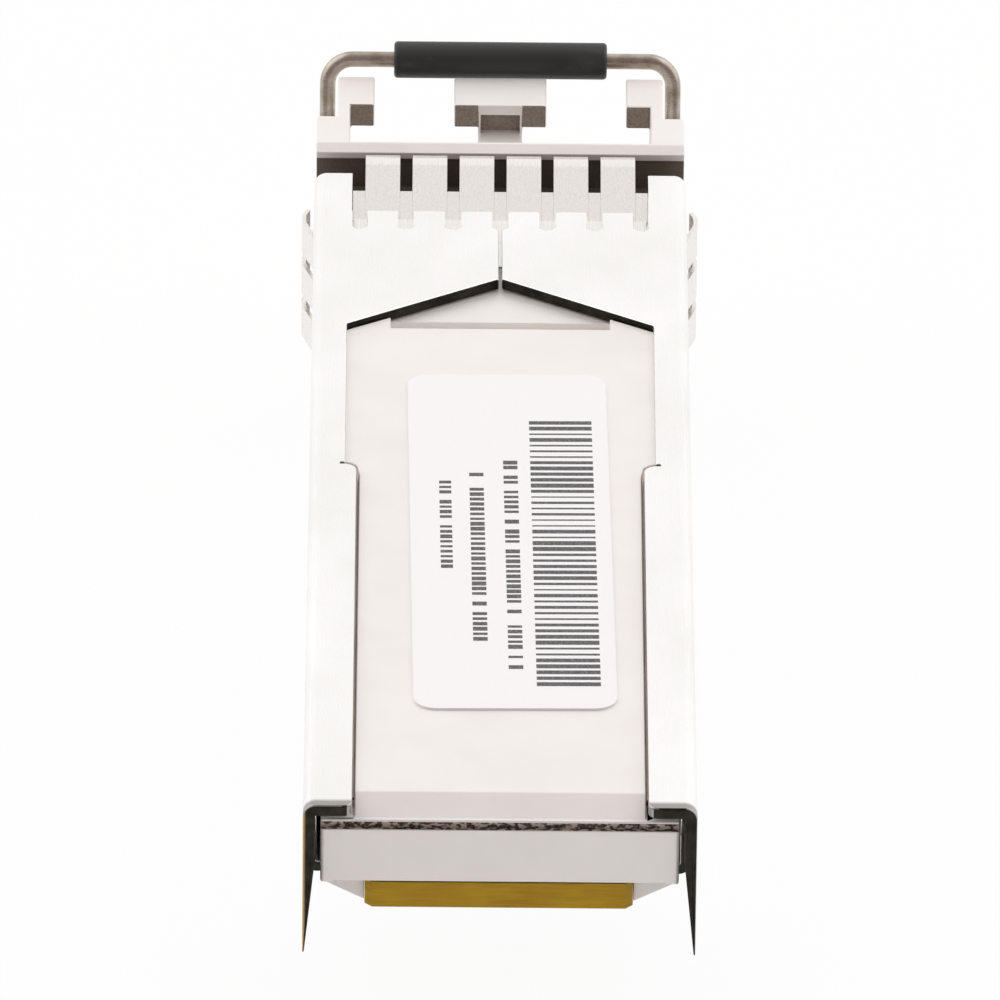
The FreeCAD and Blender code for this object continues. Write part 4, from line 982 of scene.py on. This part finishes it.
def turned(name, outline, centre):
    """Spin a closed outline of (along, radius) points about a line across the module."""
    shape = bmesh.new()
    rings = []
    for step in range(SLEEVE_FACETS):
        turn = math.tau * step / SLEEVE_FACETS
        rings.append([shape.verts.new(centre + Vector((x, r * math.cos(turn), r * math.sin(turn))) * MM)
                      for x, r in outline])
    for ring, following in zip(rings, rings[1:] + rings[:1]):
        for j in range(len(outline)):
            after = (j + 1) % len(outline)
            shape.faces.new((ring[j], ring[after], following[after], following[j]))
    return smooth_mesh(name, shape, BAIL_ANGLE)


def build_bail_grip():
    """The sleeve on the bail's bar, with rounded ends and a bevelled bore."""
    low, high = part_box("bail_sleeve")
    radius = (high.z - low.z) / 2 / MM
    half = (high.x - low.x) / 2 / MM
    right = arc(half - SLEEVE_ROUND, radius - SLEEVE_ROUND, SLEEVE_ROUND, 0, BEND_STEPS)[::-1]
    right += [(half, SLEEVE_BORE + SLEEVE_BEVEL), (half - SLEEVE_BEVEL, SLEEVE_BORE)]
    outline = right + [(-x, r) for x, r in reversed(right)]
    mesh = turned("bail_grip", outline, (low + high) / 2)
    fit("bail_grip", mesh, ["charcoal_grip"], "bail", "sleeve_plastic", "bail_sleeve")


def label_place():
    """The matrix that lays the sticker on the panel, turned a little."""
    low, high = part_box("label")
    centre = (low + high) / 2
    return Matrix.Translation((centre.x, centre.y, low.z)) @ Matrix.Rotation(LABEL_TURN, 4, "Z")


def build_sticker():
    shape = bmesh.new()
    half_width = LABEL_WIDTH / 2 - LABEL_CORNER
    half_length = LABEL_LENGTH / 2 - LABEL_CORNER
    outline = []
    for quarter, (x, y) in enumerate(((1, 1), (-1, 1), (-1, -1), (1, -1))):
        outline += arc(x * half_width, y * half_length, LABEL_CORNER, 90 * quarter, FINE_STEPS)
    face = shape.faces.new([shape.verts.new((x * MM, y * MM, 0)) for x, y in outline])
    raised = bmesh.ops.extrude_face_region(shape, geom=[face])
    tops = [item for item in raised["geom"] if isinstance(item, bmesh.types.BMVert)]
    bmesh.ops.translate(shape, verts=tops, vec=(0, 0, LABEL_THICK * MM))
    bmesh.ops.recalc_face_normals(shape, faces=shape.faces)
    bmesh.ops.transform(shape, matrix=label_place(), verts=shape.verts)
    mesh = mesh_of("label_sticker", shape)
    fit("label_sticker", mesh, ["white_film"], "module", "label_film", "label")


def ink_recipe():
    """A row of marks of like reach and random breadth, some left out."""
    tree, sizes = new_recipe("ink_row", {"Count": "Int", "Pitch": "Float", "Reach": "Float", "Thin": "Float",
                                         "Thick": "Float", "Share": "Float", "Depth": "Float",
                                         "Seed": "Int"})
    row = row_points(tree, sizes, "Y")
    mark = add(tree, "GeometryNodeMeshCube", {"Size": (1, 1, 1)})
    breadth = add(tree, "FunctionNodeRandomValue",
                  {2: sizes["Thin"], 3: sizes["Thick"], "Seed": sizes["Seed"]}, data_type="FLOAT")
    chance = add(tree, "FunctionNodeRandomValue", {"Probability": sizes["Share"], "Seed": sizes["Seed"]},
                 data_type="BOOLEAN")
    size = add(tree, "ShaderNodeCombineXYZ",
               {"X": sizes["Reach"], "Y": breadth.outputs[1], "Z": sizes["Depth"]})
    marks = add(tree, "GeometryNodeInstanceOnPoints",
                {"Points": row, "Selection": chance.outputs[3], "Instance": mark.outputs[0],
                 "Scale": size.outputs[0]})
    end_recipe(tree, marks.outputs[0], "label_ink")
    return tree


def build_print():
    """A row of bars and three rows of blocks in place of words, on the sticker."""
    recipe = ink_recipe()
    shape = bmesh.new()
    for across, start, pitch, count, reach, thin, thick, share, seed in PRINT_ROWS:
        marks = follow_recipe("ink_row", recipe, {
            "Count": count, "Pitch": pitch * MM, "Reach": reach * MM, "Thin": thin * MM, "Thick": thick * MM,
            "Share": share, "Depth": INK_DEPTH * MM, "Seed": seed})
        marks.transform(Matrix.Translation((across * MM, start * MM, LABEL_THICK * MM)))
        shape.from_mesh(marks)
    bmesh.ops.transform(shape, matrix=label_place(), verts=shape.verts)
    fit("label_print", mesh_of("label_print", shape), ["label_ink"], "module", "label_film")


def build_board():
    board = merged_copy("circuit_board")
    for face in board.faces:
        face.material_index = 0 if abs(face.normal.z) > UPRIGHT else 1
    mesh = soft_edges("laminate_board", board, BOARD_EDGE, lambda edge: BOARD_EDGE, round_finish=1)
    fit("laminate_board", mesh, ["board_mask", "board_edge"], "module", "board_laminate", "circuit_board")


def block_recipe(finish):
    """A row of like blocks along the module."""
    tree, sizes = new_recipe("block_row", {"Count": "Int", "Pitch": "Float", "Size": "Vector"})
    row = row_points(tree, sizes, "Y")
    block = add(tree, "GeometryNodeMeshCube", {"Size": sizes["Size"]})
    blocks = add(tree, "GeometryNodeInstanceOnPoints",
                 {"Points": row, "Instance": block.outputs[0]})
    end_recipe(tree, blocks.outputs[0], finish)
    return tree


def build_capacitors():
    """Two rows of ceramic blocks with tinned ends along the sides of the board."""
    low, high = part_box("capacitors")
    width, length = CAPACITOR_WIDTH * MM, CAPACITOR_LENGTH * MM
    end = CAPACITOR_END * MM
    height = high.z - low.z
    pitch = (high.y - low.y - length) / (CAPACITOR_COUNT - 1)
    shift = (length - end) / 2
    block_size = (width * CAPACITOR_WAIST, length - 2 * end, height * CAPACITOR_WAIST)
    kinds = {"capacitor_blocks": ("tan_ceramic", block_size, (0,), ("capacitors",)),
             "capacitor_ends": ("tinned_end", (width, end, height), (-shift, shift), ())}
    for name, (finish, size, shifts, stood_for) in kinds.items():
        recipe = block_recipe(finish)
        shape = bmesh.new()
        for x in (low.x + width / 2, high.x - width / 2):
            for along_row in shifts:
                row = follow_recipe(name, recipe, {"Count": CAPACITOR_COUNT, "Pitch": pitch, "Size": size})
                row.transform(Matrix.Translation((x, low.y + length / 2 + along_row, low.z + size[2] / 2)))
                shape.from_mesh(row)
        for face in shape.faces:
            face.material_index = 0
        fit(name, mesh_of(name, shape), [finish], "module", "capacitor_ceramic", *stood_for)


def lay_floor():
    """A white table, as far down as the bail's sleeve comes when it swings down."""
    bpy.ops.mesh.primitive_plane_add(size=TABLE_BREADTH, location=(0, 0, TABLE_TOP * MM))
    floor = bpy.context.object
    floor.name = "table"
    material = bpy.data.materials.new("white_table")
    material.use_nodes = True
    tree = material.node_tree
    tree.nodes.clear()
    path = add(tree, "ShaderNodeLightPath")
    seen = add(tree, "ShaderNodeMath", {0: path.outputs["Is Camera Ray"], 1: path.outputs["Is Glossy Ray"]},
               operation="MAXIMUM")
    through = add(tree, "ShaderNodeMath", {0: seen.outputs[0], 1: path.outputs["Is Transmission Ray"]},
                  operation="MAXIMUM")
    share = add(tree, "ShaderNodeMath", {0: through.outputs[0], 1: TABLE_GLOW}, operation="MULTIPLY")
    matt = add(tree, "ShaderNodeBsdfDiffuse", {"Color": (TABLE_PALE, TABLE_PALE, TABLE_PALE, 1)})
    glow = add(tree, "ShaderNodeEmission", {"Color": (1, 1, 1, 1), "Strength": 1.0})
    mixed = add(tree, "ShaderNodeMixShader", {0: share.outputs[0], 1: matt.outputs[0], 2: glow.outputs[0]})
    output = tree.nodes.new("ShaderNodeOutputMaterial")
    tree.links.new(mixed.outputs[0], output.inputs["Surface"])
    floor.data.materials.append(material)


def light_studio():
    """A pale room, brightest beyond the plug end, with a broad soft lamp above on either side."""
    world = bpy.data.worlds.new("studio")
    scene.world = world
    world.use_nodes = True
    tree = world.node_tree
    coords = add(tree, "ShaderNodeTexCoord")
    split = add(tree, "ShaderNodeSeparateXYZ", {0: coords.outputs["Generated"]})
    depth = add(tree, "ShaderNodeMapRange", {"Value": split.outputs["Y"], "From Min": ROOM_FADE[0],
                                             "From Max": ROOM_FADE[1]}, interpolation_type="SMOOTHSTEP")
    room = tint(tree, depth.outputs["Result"], ROOM_BEHIND, ROOM_BEYOND)
    path = add(tree, "ShaderNodeLightPath")
    colour = tint(tree, path.outputs["Is Camera Ray"], room, (1, 1, 1))
    tree.links.new(colour, tree.nodes["Background"].inputs["Color"])
    for name, side in (("left_softbox", -1), ("right_softbox", 1)):
        lamp = bpy.data.lights.new(name, "AREA")
        lamp.size = SOFTBOX_SIZE
        lamp.energy = SOFTBOX_POWER
        softbox = bpy.data.objects.new(name, lamp)
        scene.collection.objects.link(softbox)
        softbox.location = (side * SOFTBOX_ASIDE, SOFTBOX_FORWARD, SOFTBOX_UP)
        softbox.rotation_euler = (-softbox.location).to_track_quat("-Z", "Y").to_euler()


def aim_camera():
    """The photograph's view: from behind and above the card edge, along the module, with a long lens."""
    camera = bpy.data.cameras.new("camera")
    camera.sensor_width = CAMERA_SENSOR
    camera.lens = CAMERA_LENS
    view = bpy.data.objects.new("camera", camera)
    scene.collection.objects.link(view)
    # The camera swings a little to the left and rolls, so that the module stays upright in the picture.
    swing = Matrix.Rotation(-CAMERA_SWING, 4, "Z")
    view.location = spot(0, 0, SHELL_TOP) + swing @ Vector((CAMERA_ASIDE, -CAMERA_BACK, CAMERA_UP))
    turn = swing @ Matrix.Rotation(CAMERA_PITCH, 4, "X") @ Matrix.Rotation(CAMERA_ROLL, 4, "Z")
    view.rotation_euler = turn.to_euler()
    scene.camera = view


dress_nodes()
build_shell()
build_cover()
build_plug()
build_latch_plate()
build_latch_leaf()
build_collar()
build_bail_wire()
build_bail_grip()
build_sticker()
build_print()
build_board()
build_capacitors()
lay_floor()
light_studio()
aim_camera()
scene.view_settings.view_transform = "Standard"
